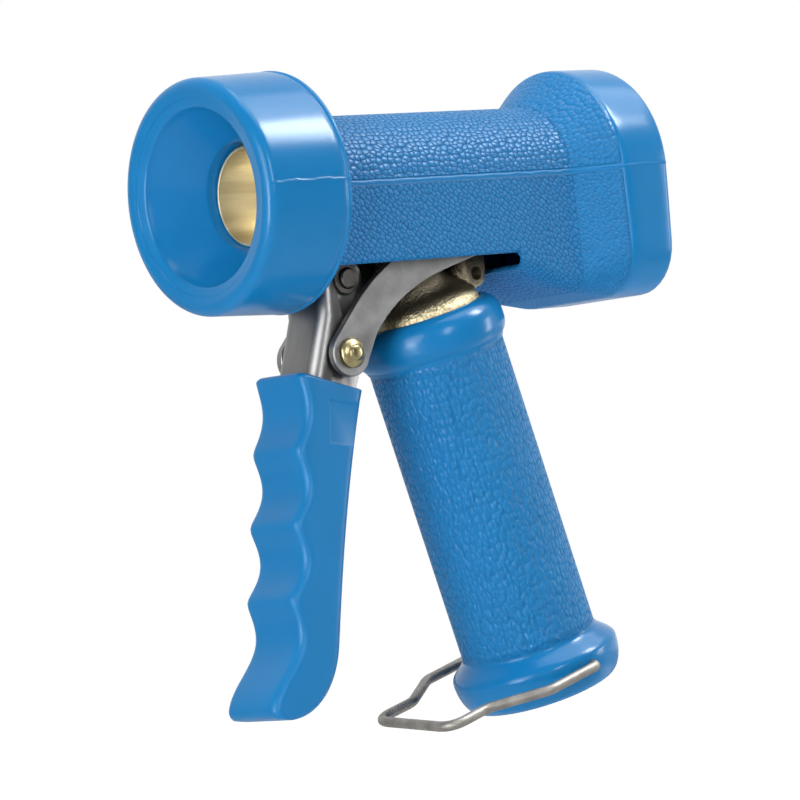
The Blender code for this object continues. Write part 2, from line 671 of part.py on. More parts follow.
def trigger_point(along, behind):
    """A point of the trigger's side view, from the first finger crest: down the lean, then back."""
    lean = math.radians(TRIGGER_LEAN_DEG)
    across = -FIRST_CREST_FORWARD - along * math.sin(lean) + behind * math.cos(lean)
    up = -FIRST_CREST_DROP - along * math.cos(lean) - behind * math.sin(lean)
    return across, up


def grip_section(along, front, back, slant=0.0):
    """A cross-section of the finger grip, its back lower than its front by slant."""
    depth = back - front
    nose = min(GRIP_FRONT_ROUND, depth * TOE_ROUND_SHARE)
    heel = min(GRIP_REAR_ROUND, depth * TOE_ROUND_SHARE)
    wide = GRIP_HALF_WIDTH
    section = []
    for centre, radius, start in (((back - heel, wide - heel), heel, 90.0),
                                  ((back - heel, -wide + heel), heel, 0.0),
                                  ((front + nose, -wide + nose), nose, -90.0),
                                  ((front + nose, wide - nose), nose, -180.0)):
        for behind, across in arc(centre, (radius, radius), start, start - 90.0, 4):
            place_x, place_z = trigger_point(along + slant * (behind - front) / depth, behind)
            section.append((place_x, across, place_z))
    return section


def build_trigger_grip(place):
    """Finger grip moulded over the channel: scalloped front, plain back, a forward toe at the bottom."""
    stations = [(-GRIP_TOP_ALONG, 0.0, GRIP_TOP_DEPTH, GRIP_TOP_SLANT)]
    steps = 8
    for step in range(-steps + 1, FINGER_COUNT * steps - steps // 2 + 1):
        along = FINGER_PITCH * step / steps
        wave = abs(math.sin(math.pi * step / steps)) ** SCALLOP_SHARPNESS
        share = (along + GRIP_TOP_ALONG) / (GRIP_TOP_ALONG + TOE_START)
        depth = GRIP_TOP_DEPTH + (GRIP_LOW_DEPTH - GRIP_TOP_DEPTH) * share
        stations.append((along, FINGER_DEPTH * wave, depth))
    stations += [(TOE_START + along, front, back) for along, front, back in TOE_STATIONS]
    rings = [grip_section(*station) for station in stations]
    shape = bmesh.new()
    loops = [[shape.verts.new(point) for point in ring] for ring in rings]
    for ring, after in zip(loops, loops[1:]):
        for index in range(len(ring)):
            following = (index + 1) % len(ring)
            shape.faces.new((ring[index], ring[following], after[following], after[index]))
    shape.faces.new(loops[0])
    shape.faces.new(loops[-1])
    bmesh.ops.recalc_face_normals(shape, faces=shape.faces)
    mesh = bpy.data.meshes.new("trigger_grip")
    shape.to_mesh(mesh)
    shape.free()
    grip = bpy.data.objects.new("trigger_grip", mesh)
    grip.matrix_world = place
    return grip


def channel_side(gap):
    """The channel's lower side view, grown by gap: front wall down, bottom, back edge up."""
    front = [trigger_point(along, behind - gap) for along, behind in CHANNEL_FRONT]
    back = [trigger_point(along, behind + gap) for along, behind in CHANNEL_BACK]
    foot = [trigger_point(CHANNEL_END + gap, CHANNEL_FRONT[-1][1] - gap),
            trigger_point(CHANNEL_END + gap, CHANNEL_BACK[0][1] + gap)]
    return front, foot, back


def build_trigger():
    """Bent steel channel on the fulcrum, with the moulded finger grip over its lower end."""
    place = Matrix.Translation(FULCRUM)
    front, foot, back = channel_side(0.0)
    outline = front + foot + back + arc((0.0, 0.0), (EAR_RADIUS, EAR_RADIUS), 0.0, 180.0, 10)
    lever = plate("trigger_lever", [outline], CHANNEL_HALF_WIDTH, place)
    lowest = foot[0][1]
    wall_points = front + foot[:1]
    round_edges(lever, CHANNEL_CORNER, 3, lambda across, up: any(
        abs(across - x) + abs(up - z) < SEAT_GAP / 10.0 for x, z in wall_points) and up >= lowest - SEAT_GAP)
    inner_half = CHANNEL_HALF_WIDTH - CHANNEL_WALL
    inner_front, inner_foot, inner_back = channel_side(-CHANNEL_WALL)
    far = 4.0 * EAR_RADIUS
    hollow_outline = [(-far, far), (-far, inner_front[0][1])] + inner_front + inner_foot[:1]
    hollow_outline += [trigger_point(CHANNEL_END - CHANNEL_WALL, far), (far, inner_back[-1][1]), (far, far)]
    hollow = as_cutter(plate("channel_hollow", [hollow_outline], inner_half, place))
    boolean(lever, hollow, "DIFFERENCE")
    reach = 2.0 * CHANNEL_HALF_WIDTH
    pivot_hole = rod("lever_pivot_hole", FULCRUM_PIN_RADIUS + SEAT_GAP, -reach, reach, cross_axis(FULCRUM))
    boolean(lever, as_cutter(pivot_hole), "DIFFERENCE")
    rivet_hole = rod("lever_rivet_hole", RIVET_RADIUS + SEAT_GAP, -reach, reach, cross_axis(RIVET))
    boolean(lever, as_cutter(rivet_hole), "DIFFERENCE")
    finish(lever, STEEL, 0.30, 1.0)

    grip = build_trigger_grip(place)
    pocket_front, pocket_foot, pocket_back = channel_side(SEAT_GAP)
    pocket_outline = pocket_front + pocket_foot + pocket_back
    pocket = plate("grip_pocket", [pocket_outline], CHANNEL_HALF_WIDTH + SEAT_GAP, place)
    boolean(grip, as_cutter(pocket), "DIFFERENCE")
    finish(grip, BLUE_PLASTIC, 0.35, 0.0)

    pin_end = CHANNEL_HALF_WIDTH + SEAT_GAP + 2.0 * CLIP_THICKNESS
    pin = rod("fulcrum_pin", FULCRUM_PIN_RADIUS, -pin_end, pin_end, cross_axis(FULCRUM))
    finish(pin, STEEL, 0.35, 1.0)
    clip_low = CHANNEL_HALF_WIDTH + SEAT_GAP
    for side, name in ((1.0, "fulcrum_clip_right"), (-1.0, "fulcrum_clip_left")):
        ends = sorted((side * clip_low, side * (clip_low + CLIP_THICKNESS)))
        clip = sleeve(name, CLIP_RADIUS, FULCRUM_PIN_RADIUS + SEAT_GAP, ends[0], ends[1],
                      cross_axis(FULCRUM))
        finish(clip, STEEL, 0.40, 1.0)


def arm_outline(gap):
    """The bowed link arm in side view from the rivet, grown by gap, with a round eye at both ends."""
    end = CROSSHEAD - RIVET
    start_angle = math.radians(ARM_START_DEG)
    end_angle = math.radians(ARM_END_DEG)
    corners = [
        Vector((0.0, 0.0)),
        Vector((math.cos(start_angle), math.sin(start_angle))) * ARM_START_PULL,
        Vector((end.x, end.z)) - Vector((math.cos(end_angle), math.sin(end_angle))) * ARM_END_PULL,
        Vector((end.x, end.z)),
    ]
    spans = 14
    upper = []
    lower = []
    for step in range(spans + 1):
        t = ARM_EYE_SHARE + (1.0 - 2.0 * ARM_EYE_SHARE) * step / spans
        point = (corners[0] * (1 - t) ** 3 + corners[1] * 3 * t * (1 - t) ** 2
                 + corners[2] * 3 * t * t * (1 - t) + corners[3] * t ** 3)
        slope = ((corners[1] - corners[0]) * (1 - t) ** 2 + (corners[2] - corners[1]) * 2 * t * (1 - t)
                 + (corners[3] - corners[2]) * t * t).normalized()
        normal = Vector((-slope.y, slope.x)) * (ARM_HALF_WIDTH + gap)
        upper.append(tuple(point + normal))
        lower.append(tuple(point - normal))
    eye = (ARM_EYE_RADIUS + gap, ARM_EYE_RADIUS + gap)
    near_middle = ARM_START_DEG - 180.0
    near_eye = arc((0.0, 0.0), eye, near_middle + ARM_EYE_HALF_DEG, near_middle - ARM_EYE_HALF_DEG, 12)
    far_eye = arc((end.x, end.z), eye, ARM_END_DEG + ARM_EYE_HALF_DEG, ARM_END_DEG - ARM_EYE_HALF_DEG, 12)
    outline = near_eye + upper + far_eye + lower[::-1]
    return outline, (end.x, end.z)


def build_links():
    """Two curved steel arms from the trigger's rivet to the crosshead on the spindle."""
    outline, far_eye = arm_outline(0.0)
    holes = [circle((0.0, 0.0), RIVET_RADIUS + SEAT_GAP), circle(far_eye, TRUNNION_RADIUS + TRUNNION_PLAY)]
    for side, name in ((-1.0, "link_arm_left"), (1.0, "link_arm_right")):
        middle = Vector((0.0, side * ARM_MIDDLE_Y, 0.0))
        arm = plate(name, [outline] + holes, ARM_THICKNESS / 2.0, Matrix.Translation(RIVET + middle))
        finish(arm, STEEL, 0.40, 1.0)
    shank = ARM_OUTER_Y + SEAT_GAP
    top = shank + RIVET_HEAD_HEIGHT
    profile = [
        (0.0, top),
        (RIVET_FACET_RADIUS, top),
        (RIVET_HEAD_RADIUS, shank + RIVET_RIM_HEIGHT),
        (RIVET_HEAD_RADIUS, shank),
        (RIVET_RADIUS, shank),
    ]
    mirrored = [(radius, -height) for radius, height in reversed(profile)]
    rivet = turned("link_rivet", profile + mirrored, cross_axis(RIVET), SMALL_STEPS, closed=False)
    finish(rivet, BRASS, 0.30, 1.0)


def build_return_spring(low, high):
    """A compression spring along the barrel axis, closed at rest between poppet and chamber floor."""
    curve = bpy.data.curves.new("return_spring", "CURVE")
    curve.dimensions = "3D"
    curve.bevel_depth = SPRING_WIRE
    curve.bevel_resolution = 1
    curve.use_fill_caps = True
    per_turn = 10
    count = SPRING_TURNS * per_turn + 1
    start = low + SPRING_WIRE
    run = high - low - 2.0 * SPRING_WIRE
    points = []
    for step in range(count):
        angle = 2.0 * math.pi * step / per_turn
        points.append(Vector((SPRING_RADIUS * math.cos(angle), SPRING_RADIUS * math.sin(angle),
                              start + run * step / (count - 1))))
    spline = curve.splines.new("POLY")
    spline.points.add(count - 1)
    for slot, point in zip(spline.points, points):
        slot.co = (*point, 1.0)
    gap = min((first - second).length for index, first in enumerate(points)
              for second in points[index + per_turn // 2:]) - 2.0 * SPRING_WIRE
    print("return_spring least gap to itself: %.2f mm" % (gap * 1000.0))
    item = bpy.data.objects.new("return_spring", curve)
    item.matrix_world = BARREL_TURN
    finish(curve_as_mesh(item), STEEL, 0.35, 1.0)


def build_spindle():
    """Spindle with its poppet, spring, packing and the crosshead that the arms push."""
    seat_x = BODY_FRONT_X - SEAT_GAP + SPIGOT_LENGTH
    flange_x = seat_x + SEAL_THICKNESS + 2.0 * SEAT_GAP
    flange_end = flange_x + POPPET_LENGTH
    socket_x = flange_end - SPINDLE_SOCKET
    nose_x = seat_x - POPPET_NOSE_LENGTH
    poppet_profile = [
        (SPINDLE_RADIUS + SEAT_GAP, flange_end),
        (POPPET_RADIUS, flange_end),
        (POPPET_RADIUS, flange_x),
        (POPPET_NOSE_RADIUS, flange_x),
        (POPPET_NOSE_RADIUS, seat_x - SEAT_DEPTH),
        (POPPET_TIP_RADIUS, nose_x),
        (0.0, nose_x),
    ]
    poppet_profile = [(0.0, socket_x), (SPINDLE_RADIUS + SEAT_GAP, socket_x)] + poppet_profile
    poppet = turned("poppet", poppet_profile, BARREL_TURN, SMALL_STEPS, closed=False)
    finish(poppet, BRASS, 0.35, 1.0)
    seal = sleeve("poppet_seal", POPPET_RADIUS, POPPET_NOSE_RADIUS + SEAT_GAP, seat_x + SEAT_GAP,
                  flange_x - SEAT_GAP, BARREL_TURN)
    finish(seal, BLACK_RUBBER, 0.60, 0.0)
    build_return_spring(flange_end + SEAT_GAP, CHAMBER_REAR_X - SEAT_GAP)

    gland_x = CHAMBER_REAR_X + GLAND_FLOOR
    packing_end = gland_x + SEAT_GAP + PACKING_LENGTH
    stem_bore = SPINDLE_RADIUS + SEAT_GAP
    packing = sleeve("stem_packing", GLAND_RADIUS - SEAT_GAP, stem_bore, gland_x + SEAT_GAP, packing_end,
                     BARREL_TURN)
    finish(packing, BLACK_RUBBER, 0.60, 0.0)
    nut_low = BODY_REAR_X + SEAT_GAP
    nut_high = nut_low + GLAND_NUT_LENGTH
    nut = hexagon_nut("gland_nut", GLAND_NUT_RADIUS, stem_bore, nut_low, nut_high, BARREL_TURN)
    spigot = sleeve("gland_spigot", GLAND_RADIUS - SEAT_GAP, stem_bore, packing_end + SEAT_GAP,
                    nut_low + GLAND_NUT_LENGTH / 2.0, BARREL_TURN)
    boolean(nut, as_cutter(spigot), "UNION")
    finish(nut, BRASS, 0.35, 1.0)

    head_low = CROSSHEAD_X - CROSSHEAD_LENGTH / 2.0
    head_high = CROSSHEAD_X + CROSSHEAD_LENGTH / 2.0
    tail = head_high + SEAT_GAP + NUT_LENGTH + SPINDLE_TAIL
    spindle = rod("spindle", SPINDLE_RADIUS, socket_x + SEAT_GAP, tail, BARREL_TURN)
    finish(spindle, STEEL, 0.25, 1.0)
    head_half_width = ARM_INNER_Y - RUN_GAP
    crosshead = block("crosshead", (head_low, -head_half_width, -CROSSHEAD_HALF_HEIGHT),
                      (head_high, head_half_width, CROSSHEAD_HALF_HEIGHT), BARREL_PLACE)
    trunnion_end = ARM_OUTER_Y + SEAT_GAP + 2.0 * CLIP_THICKNESS
    trunnions = rod("trunnions", TRUNNION_RADIUS, -trunnion_end, trunnion_end, cross_axis(CROSSHEAD))
    boolean(crosshead, as_cutter(trunnions), "UNION")
    stem_hole = rod("crosshead_hole", stem_bore, head_low - NUT_LENGTH, head_high + NUT_LENGTH, BARREL_TURN)
    boolean(crosshead, as_cutter(stem_hole), "DIFFERENCE")
    finish(crosshead, BRASS, 0.40, 1.0)
    front_nut = hexagon_nut("spindle_nut_front", NUT_RADIUS, stem_bore, head_low - SEAT_GAP - NUT_LENGTH,
                            head_low - SEAT_GAP, BARREL_TURN)
    finish(front_nut, STEEL, 0.35, 1.0)
    rear_nut = hexagon_nut("spindle_nut_rear", NUT_RADIUS, stem_bore, head_high + SEAT_GAP,
                           head_high + SEAT_GAP + NUT_LENGTH, BARREL_TURN)
    finish(rear_nut, STEEL, 0.35, 1.0)
    clip_low = ARM_OUTER_Y + SEAT_GAP
    for side, name in ((1.0, "crosshead_clip_right"), (-1.0, "crosshead_clip_left")):
        ends = sorted((side * clip_low, side * (clip_low + CLIP_THICKNESS)))
        clip = sleeve(name, CLIP_RADIUS, TRUNNION_RADIUS + SEAT_GAP, ends[0], ends[1],
                      cross_axis(CROSSHEAD))
        finish(clip, STEEL, 0.40, 1.0)


def rounded_route(points, radii, count):
    """A polyline whose inner corners are replaced by short curves, one radius for each corner."""
    route = [points[0]]
    for before, corner, after, radius in zip(points, points[1:], points[2:], radii):
        back = (before - corner).normalized()
        ahead = (after - corner).normalized()
        half = back.angle(ahead) / 2.0
        reach = radius / math.tan(half)
        for step in range(count + 1):
            t = step / count
            start = corner + back * reach
            end = corner + ahead * reach
            route.append(start * (1 - t) ** 2 + corner * 2 * t * (1 - t) + end * t * t)
    route.append(points[-1])
    return route


def build_bail():
    """Bent wire latch: hooked ends in the foot, legs that step in to a narrow loop."""
    leg_y = FOOT_RADIUS + SEAT_GAP + BAIL_WIRE_RADIUS
    end_y = FOOT_RADIUS - BAIL_GRIP
    half = [
        Vector((0.0, end_y, 0.0)),
        Vector((0.0, leg_y, 0.0)),
        Vector((-BAIL_JOG_START, leg_y, 0.0)),
        Vector((-BAIL_JOG_END, BAIL_HALF_WIDTH, 0.0)),
        Vector((-BAIL_REACH, BAIL_HALF_WIDTH, 0.0)),
    ]
    corners = half + [Vector((point.x, -point.y, point.z)) for point in reversed(half)]
    hook_bend = BAIL_WIRE_RADIUS + SEAT_GAP
    bends = [hook_bend] + [BAIL_BEND] * (len(corners) - 4) + [hook_bend]
    route = rounded_route(corners, bends, 4)
    curve = bpy.data.curves.new("latch_bail", "CURVE")
    curve.dimensions = "3D"
    curve.bevel_depth = BAIL_WIRE_RADIUS
    curve.bevel_resolution = 2
    curve.use_fill_caps = True
    spline = curve.splines.new("POLY")
    spline.points.add(len(route) - 1)
    for slot, point in zip(spline.points, route):
        slot.co = (*point, 1.0)
    item = bpy.data.objects.new("latch_bail", curve)
    droop = Matrix.Rotation(-math.radians(BAIL_DROOP_DEG), 4, "Y")
    item.matrix_world = Matrix.Translation(BAIL_PIVOT) @ BAIL_TILT @ droop
    finish(curve_as_mesh(item), STEEL, 0.25, 1.0)


build_barrel_cover()
build_nozzle_tip()
build_valve_body()
build_handle()
build_trigger()
build_links()
build_spindle()
build_bail()
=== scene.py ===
import math

import bmesh
import bpy
from mathutils import Matrix, Vector


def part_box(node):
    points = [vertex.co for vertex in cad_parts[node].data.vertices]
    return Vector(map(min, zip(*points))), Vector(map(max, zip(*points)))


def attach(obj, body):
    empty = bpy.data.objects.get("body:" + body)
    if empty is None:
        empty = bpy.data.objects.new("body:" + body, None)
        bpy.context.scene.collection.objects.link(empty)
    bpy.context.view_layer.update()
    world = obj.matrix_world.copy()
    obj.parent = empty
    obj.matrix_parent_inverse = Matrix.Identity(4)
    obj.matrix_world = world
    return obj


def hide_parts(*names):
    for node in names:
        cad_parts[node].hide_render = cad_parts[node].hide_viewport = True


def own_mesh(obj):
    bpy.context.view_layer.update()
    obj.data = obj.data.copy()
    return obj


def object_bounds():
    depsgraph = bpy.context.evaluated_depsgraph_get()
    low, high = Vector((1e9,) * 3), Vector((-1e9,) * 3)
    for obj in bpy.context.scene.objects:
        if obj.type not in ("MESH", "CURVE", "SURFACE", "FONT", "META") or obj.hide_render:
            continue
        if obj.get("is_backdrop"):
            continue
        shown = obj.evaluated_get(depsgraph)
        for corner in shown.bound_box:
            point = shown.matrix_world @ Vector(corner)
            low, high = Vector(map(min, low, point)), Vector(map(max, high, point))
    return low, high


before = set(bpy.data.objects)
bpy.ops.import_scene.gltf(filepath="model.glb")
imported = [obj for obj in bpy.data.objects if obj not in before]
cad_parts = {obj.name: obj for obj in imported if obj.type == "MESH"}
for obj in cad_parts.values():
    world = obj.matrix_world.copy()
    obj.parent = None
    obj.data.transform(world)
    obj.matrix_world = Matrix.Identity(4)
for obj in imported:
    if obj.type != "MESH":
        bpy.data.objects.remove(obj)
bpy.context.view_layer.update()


# Studio
# A long lens level with the gun looks at its spray end from the left and leans a little.
# White sweep and a big soft lamp overhead, one by the camera and a weak one from the far side.
LENS_AZIMUTH = math.radians(-40.07)
LENS_ELEVATION = math.radians(-1.0)
LENS_ROLL = math.radians(-6.59)
LENS_DISTANCE = 1.1812
LENS_TARGET = Vector((-0.04038, 0.0, 0.0890))
SWEEP_HEIGHT = -0.26

toward = Vector((math.sin(LENS_AZIMUTH) * math.cos(LENS_ELEVATION),
                 -math.cos(LENS_AZIMUTH) * math.cos(LENS_ELEVATION), math.sin(LENS_ELEVATION)))
level = Vector((math.cos(LENS_AZIMUTH), math.sin(LENS_AZIMUTH), 0.0))
upright = toward.cross(level)
across = math.cos(LENS_ROLL) * level + math.sin(LENS_ROLL) * upright
upward = math.cos(LENS_ROLL) * upright - math.sin(LENS_ROLL) * level
lens_matrix = Matrix((across, upward, toward)).transposed().to_4x4()
lens_matrix.translation = LENS_TARGET + toward * LENS_DISTANCE
bpy.ops.object.select_all(action="DESELECT")
bpy.ops.object.camera_add()
camera = bpy.context.object
camera.matrix_world = lens_matrix
camera.data.sensor_width = 36.0
camera.data.lens = 186.15
camera.data.shift_x = -0.0048
camera.data.shift_y = -0.0036
camera.data.clip_end = 20.0
bpy.context.scene.camera = camera
bpy.context.scene.view_settings.view_transform = "Standard"


def add_node(tree, kind, **settings):
    """A shader node with its settings."""
    node = tree.nodes.new("ShaderNode" + kind)
    for name, value in settings.items():
        setattr(node, name, value)
    return node


def softbox(name, place, aim, size, watts):
    """A square area lamp turned to what it lights."""
    bpy.ops.object.select_all(action="DESELECT")
    bpy.ops.object.light_add(type="AREA", location=place)
    lamp = bpy.context.object
    lamp.name = name
    lamp.rotation_euler = (Vector(aim) - Vector(place)).to_track_quat("-Z", "Y").to_euler()
    lamp.data.shape = "RECTANGLE"
    lamp.data.size, lamp.data.size_y = size
    lamp.data.energy = watts
    return lamp


MIDDLE = (-0.04, 0.0, 0.09)
overhead = softbox("overhead_box", (0.10, -0.20, 1.02), MIDDLE, (0.70, 0.70), 5.4)
beside = softbox("front_box", (-1.12, -0.42, 0.34), MIDDLE, (0.60, 0.60), 7.0)
band_box = softbox("band_box", (0.46, -0.43, 0.74), MIDDLE, (0.20, 0.28), 7.4)
sheen_box = softbox("sheen_box", (0.60, -0.10, 0.86), MIDDLE, (0.44, 0.44), 1.8)
lens_strip = softbox("lens_strip", (-0.36, -1.24, 0.42), MIDDLE, (0.20, 0.60), 5.0)
left_box = softbox("left_box", (-0.94, -0.35, -0.06), MIDDLE, (0.25, 0.35), 4.0)
right_box = softbox("right_box", (0.82, -0.50, 0.14), MIDDLE, (0.16, 0.34), 2.2)
edge_box = softbox("edge_box", (0.88, -0.12, -0.20), MIDDLE, (0.40, 0.40), 5.0)
edge_box.visible_glossy = False
mouth_panel = softbox("mouth_panel", (-1.00, 0.05, 0.20), MIDDLE, (0.60, 0.60), 1.2)
for lamp in (band_box, sheen_box, lens_strip, left_box, right_box, mouth_panel):
    lamp.visible_diffuse = False

# The tent's white is what the lens and the mirror of a metal see on the far side; toward the camera
# the mirror sees the dim room, and the matt light comes evenly from all round.
world = bpy.data.worlds.new("white_tent")
bpy.context.scene.world = world
world.use_nodes = True
tent = world.node_tree
tent.nodes.clear()
tent_rays = add_node(tent, "LightPath")
tent_place = add_node(tent, "TexCoord")
far_side = add_node(tent, "VectorMath", operation="DOT_PRODUCT")
far_side.inputs[1].default_value = -toward + Vector((0.0, 0.0, 0.35))
tent.links.new(tent_place.outputs["Generated"], far_side.inputs[0])
mirrored = add_node(tent, "MapRange", interpolation_type="SMOOTHSTEP")
mirrored.inputs["From Min"].default_value = -0.40
mirrored.inputs["From Max"].default_value = 0.75
mirrored.inputs["To Min"].default_value = 0.16
mirrored.inputs["To Max"].default_value = 1.0
tent.links.new(far_side.outputs["Value"], mirrored.inputs["Value"])
mirror_rays = add_node(tent, "Math", operation="MAXIMUM")
tent.links.new(tent_rays.outputs["Is Glossy Ray"], mirror_rays.inputs[0])
tent.links.new(tent_rays.outputs["Is Transmission Ray"], mirror_rays.inputs[1])
matt_or_mirror = add_node(tent, "Mix", data_type="FLOAT")
tent.links.new(mirror_rays.outputs[0], matt_or_mirror.inputs["Factor"])
black_card = add_node(tent, "VectorMath", operation="DOT_PRODUCT")
black_card.inputs[1].default_value = -across
tent.links.new(tent_place.outputs["Generated"], black_card.inputs[0])
shaded = add_node(tent, "MapRange", interpolation_type="SMOOTHSTEP")
shaded.inputs["From Min"].default_value = 0.15
shaded.inputs["From Max"].default_value = 0.95
shaded.inputs["To Min"].default_value = 0.47
shaded.inputs["To Max"].default_value = 0.14
tent.links.new(black_card.outputs["Value"], shaded.inputs["Value"])
tent.links.new(shaded.outputs["Result"], matt_or_mirror.inputs["A"])
tent.links.new(mirrored.outputs["Result"], matt_or_mirror.inputs["B"])
seen_white = add_node(tent, "Mix", data_type="FLOAT")
tent.links.new(tent_rays.outputs["Is Camera Ray"], seen_white.inputs["Factor"])
tent.links.new(matt_or_mirror.outputs["Result"], seen_white.inputs["A"])
seen_white.inputs["B"].default_value = 1.0
tent_light = add_node(tent, "Background")
tent.links.new(seen_white.outputs["Result"], tent_light.inputs["Strength"])
tent_light.inputs["Color"].default_value = (1.0, 1.0, 1.0, 1.0)
tent_out = add_node(tent, "OutputWorld")
tent.links.new(tent_light.outputs[0], tent_out.inputs["Surface"])

bpy.ops.object.select_all(action="DESELECT")
bpy.ops.mesh.primitive_plane_add(size=8.0, location=(0.0, 0.0, SWEEP_HEIGHT))
sweep = bpy.context.object
sweep.name = "sweep"
sweep_paint = bpy.data.materials.new("sweep_white")
sweep_paint.use_nodes = True
paint = sweep_paint.node_tree
paint.nodes.clear()
paint_seen = add_node(paint, "LightPath")
paint_matt = add_node(paint, "BsdfDiffuse")
paint_matt.inputs["Color"].default_value = (0.90, 0.90, 0.90, 1.0)
paint_lift = add_node(paint, "Emission")
paint_lift.inputs["Color"].default_value = (1.0, 1.0, 1.0, 1.0)
paint_strength = add_node(paint, "Math", operation="MULTIPLY")
paint_strength.inputs[1].default_value = 0.70
paint.links.new(paint_seen.outputs["Is Camera Ray"], paint_strength.inputs[0])
paint.links.new(paint_strength.outputs[0], paint_lift.inputs["Strength"])
paint_sum = add_node(paint, "AddShader")
paint.links.new(paint_matt.outputs[0], paint_sum.inputs[0])
paint.links.new(paint_lift.outputs[0], paint_sum.inputs[1])
paint_out = add_node(paint, "OutputMaterial")
paint.links.new(paint_sum.outputs[0], paint_out.inputs["Surface"])
sweep.data.materials.append(sweep_paint)
sweep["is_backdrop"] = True


# Valve body
# The gun's core is one brass casting: a tube along the barrel, a neck and dome into the handle,
# a lug for the trigger's pin in front and a drilled lug behind. Its skin is left as cast.
LEAN = math.radians(14.9)
BARREL_AT = Vector((-0.039646, 0.0, 0.149))
ON_BARREL = Matrix.Translation(BARREL_AT) @ Matrix.Rotation(math.pi / 2, 4, "Y")
ON_HANDLE = Matrix.Rotation(-LEAN, 4, "Y")
FULCRUM_AT = Vector((-0.064846, 0.0, 0.1235))
GAP = 0.0003


def clear_selection():
    """Nothing selected, so that the next operator works on the next piece alone."""
    bpy.ops.object.select_all(action="DESELECT")


def select_only(piece):
    clear_selection()
    piece.select_set(True)
    bpy.context.view_layer.objects.active = piece


def draw_line(name, points):
    """One vertex pulled out point by point into a line."""
    clear_selection()
    bpy.ops.mesh.primitive_plane_add(size=0.001)
    piece = bpy.context.object
    piece.name = name
    bpy.ops.object.mode_set(mode="EDIT")
    bpy.ops.mesh.merge(type="CENTER")
    bpy.ops.transform.translate(value=points[0])
    for before, after in zip(points, points[1:]):
        pull = Vector(after) - Vector(before)
        bpy.ops.mesh.extrude_region_move(TRANSFORM_OT_translate={"value": pull})
    return piece


def set_down(piece, place=Matrix.Identity(4), smooth_deg=35.0):
    """Ends editing: doubles merged, faces turned outward, the piece carried to its place."""
    bpy.ops.mesh.select_all(action="SELECT")
    bpy.ops.mesh.remove_doubles(threshold=1e-6)
    bpy.ops.mesh.normals_make_consistent(inside=False)
    bpy.ops.object.mode_set(mode="OBJECT")
    piece.matrix_world = place @ piece.matrix_world
    bpy.ops.object.transform_apply(location=True, rotation=True, scale=True)
    bpy.ops.object.shade_smooth_by_angle(angle=math.radians(smooth_deg))
    return piece


def lathe(name, profile, place, steps=96, closed=True):
    """A half section of (radius, height) points spun once round its axis."""
    points = [(radius, 0.0, height) for radius, height in profile]
    if closed:
        points.append(points[0])
    piece = draw_line(name, points)
    bpy.ops.mesh.select_all(action="SELECT")
    bpy.ops.mesh.spin(steps=steps, angle=2.0 * math.pi, center=(0.0, 0.0, 0.0), axis=(0.0, 0.0, 1.0))
    return set_down(piece, place)


def bow(centre, radii, start_deg, end_deg, count):
    """Points on an arc, both ends included."""
    angles = [math.radians(start_deg + (end_deg - start_deg) * step / count) for step in range(count + 1)]
    return [(centre[0] + radii[0] * math.cos(a), centre[1] + radii[1] * math.sin(a)) for a in angles]


def slab(name, outline, half_width, place):
    """A side view of (x, z) points filled in and pulled out to its width."""
    piece = draw_line(name, [(x, -half_width, z) for x, z in outline])
    bpy.ops.mesh.select_all(action="SELECT")
    bpy.ops.mesh.edge_face_add()
    bpy.ops.mesh.extrude_region_move(TRANSFORM_OT_translate={"value": (0.0, 2.0 * half_width, 0.0)})
    return set_down(piece, place)


def apply_modifier(piece, kind, **settings):
    """Adds a modifier and applies it at once."""
    select_only(piece)
    modifier = piece.modifiers.new(kind.lower(), kind)
    for name, value in settings.items():
        setattr(modifier, name, value)
    bpy.ops.object.modifier_apply(modifier=modifier.name)


def cut_away(piece, cutter):
    """Takes the cutter's shape out of the piece and throws the cutter away."""
    apply_modifier(piece, "BOOLEAN", operation="DIFFERENCE", solver="EXACT", object=cutter)
    bpy.data.objects.remove(cutter)


def cross_pin(point):
    """The place of a piece turned round an axis across the gun."""
    return Matrix.Translation(point) @ Matrix.Rotation(-math.pi / 2, 4, "X")


BODY_RADIUS = 0.0135
BODY_FRONT = -0.0340
BODY_REAR = 0.0260
NECK_RADIUS = 0.0093
DOME_RADIUS = 0.0173
DOME_BASE = 0.11638
DOME_TOP = 0.12158
AXES_MEET = 0.15418

tube = lathe("valve_body_cast", [
    (0.0, BODY_REAR), (BODY_RADIUS, BODY_REAR), (BODY_RADIUS, -0.0180), (0.0155, -0.0200),
    (0.0155, BODY_FRONT), (0.0, BODY_FRONT)], ON_BARREL, 64)
dome_profile = [(0.0, AXES_MEET), (NECK_RADIUS, AXES_MEET)]
dome_profile += bow((NECK_RADIUS, DOME_BASE), (DOME_RADIUS - NECK_RADIUS, DOME_TOP - DOME_BASE), 90.0, 0.0, 10)
dome_profile += [(DOME_RADIUS, DOME_BASE - 0.0120), (0.0, DOME_BASE - 0.0120)]
dome = lathe("dome", dome_profile, ON_HANDLE, 64)
front_lug = slab("front_lug", bow((0.0, 0.0), (0.0058, 0.0058), 180.0, 360.0, 16)
                 + [(0.0058, 0.0188), (-0.0058, 0.0188)], 0.0070, Matrix.Translation(FULCRUM_AT))
REAR_LUG_AT = BARREL_AT + Vector((0.0243, 0.0, -0.0268))
rear_lug = slab("rear_lug", bow((0.0, 0.0), (0.0038, 0.0038), 180.0, 360.0, 16)
                + [(0.0038, 0.0200), (-0.0130, 0.0200)], 0.0088, Matrix.Translation(REAR_LUG_AT))
rear_web = slab("rear_web", [(0.0190, -0.0195), (0.0257, -0.0195), (0.0257, -0.0068), (0.0190, -0.0068)],
                0.0088, Matrix.Translation(BARREL_AT))
clear_selection()
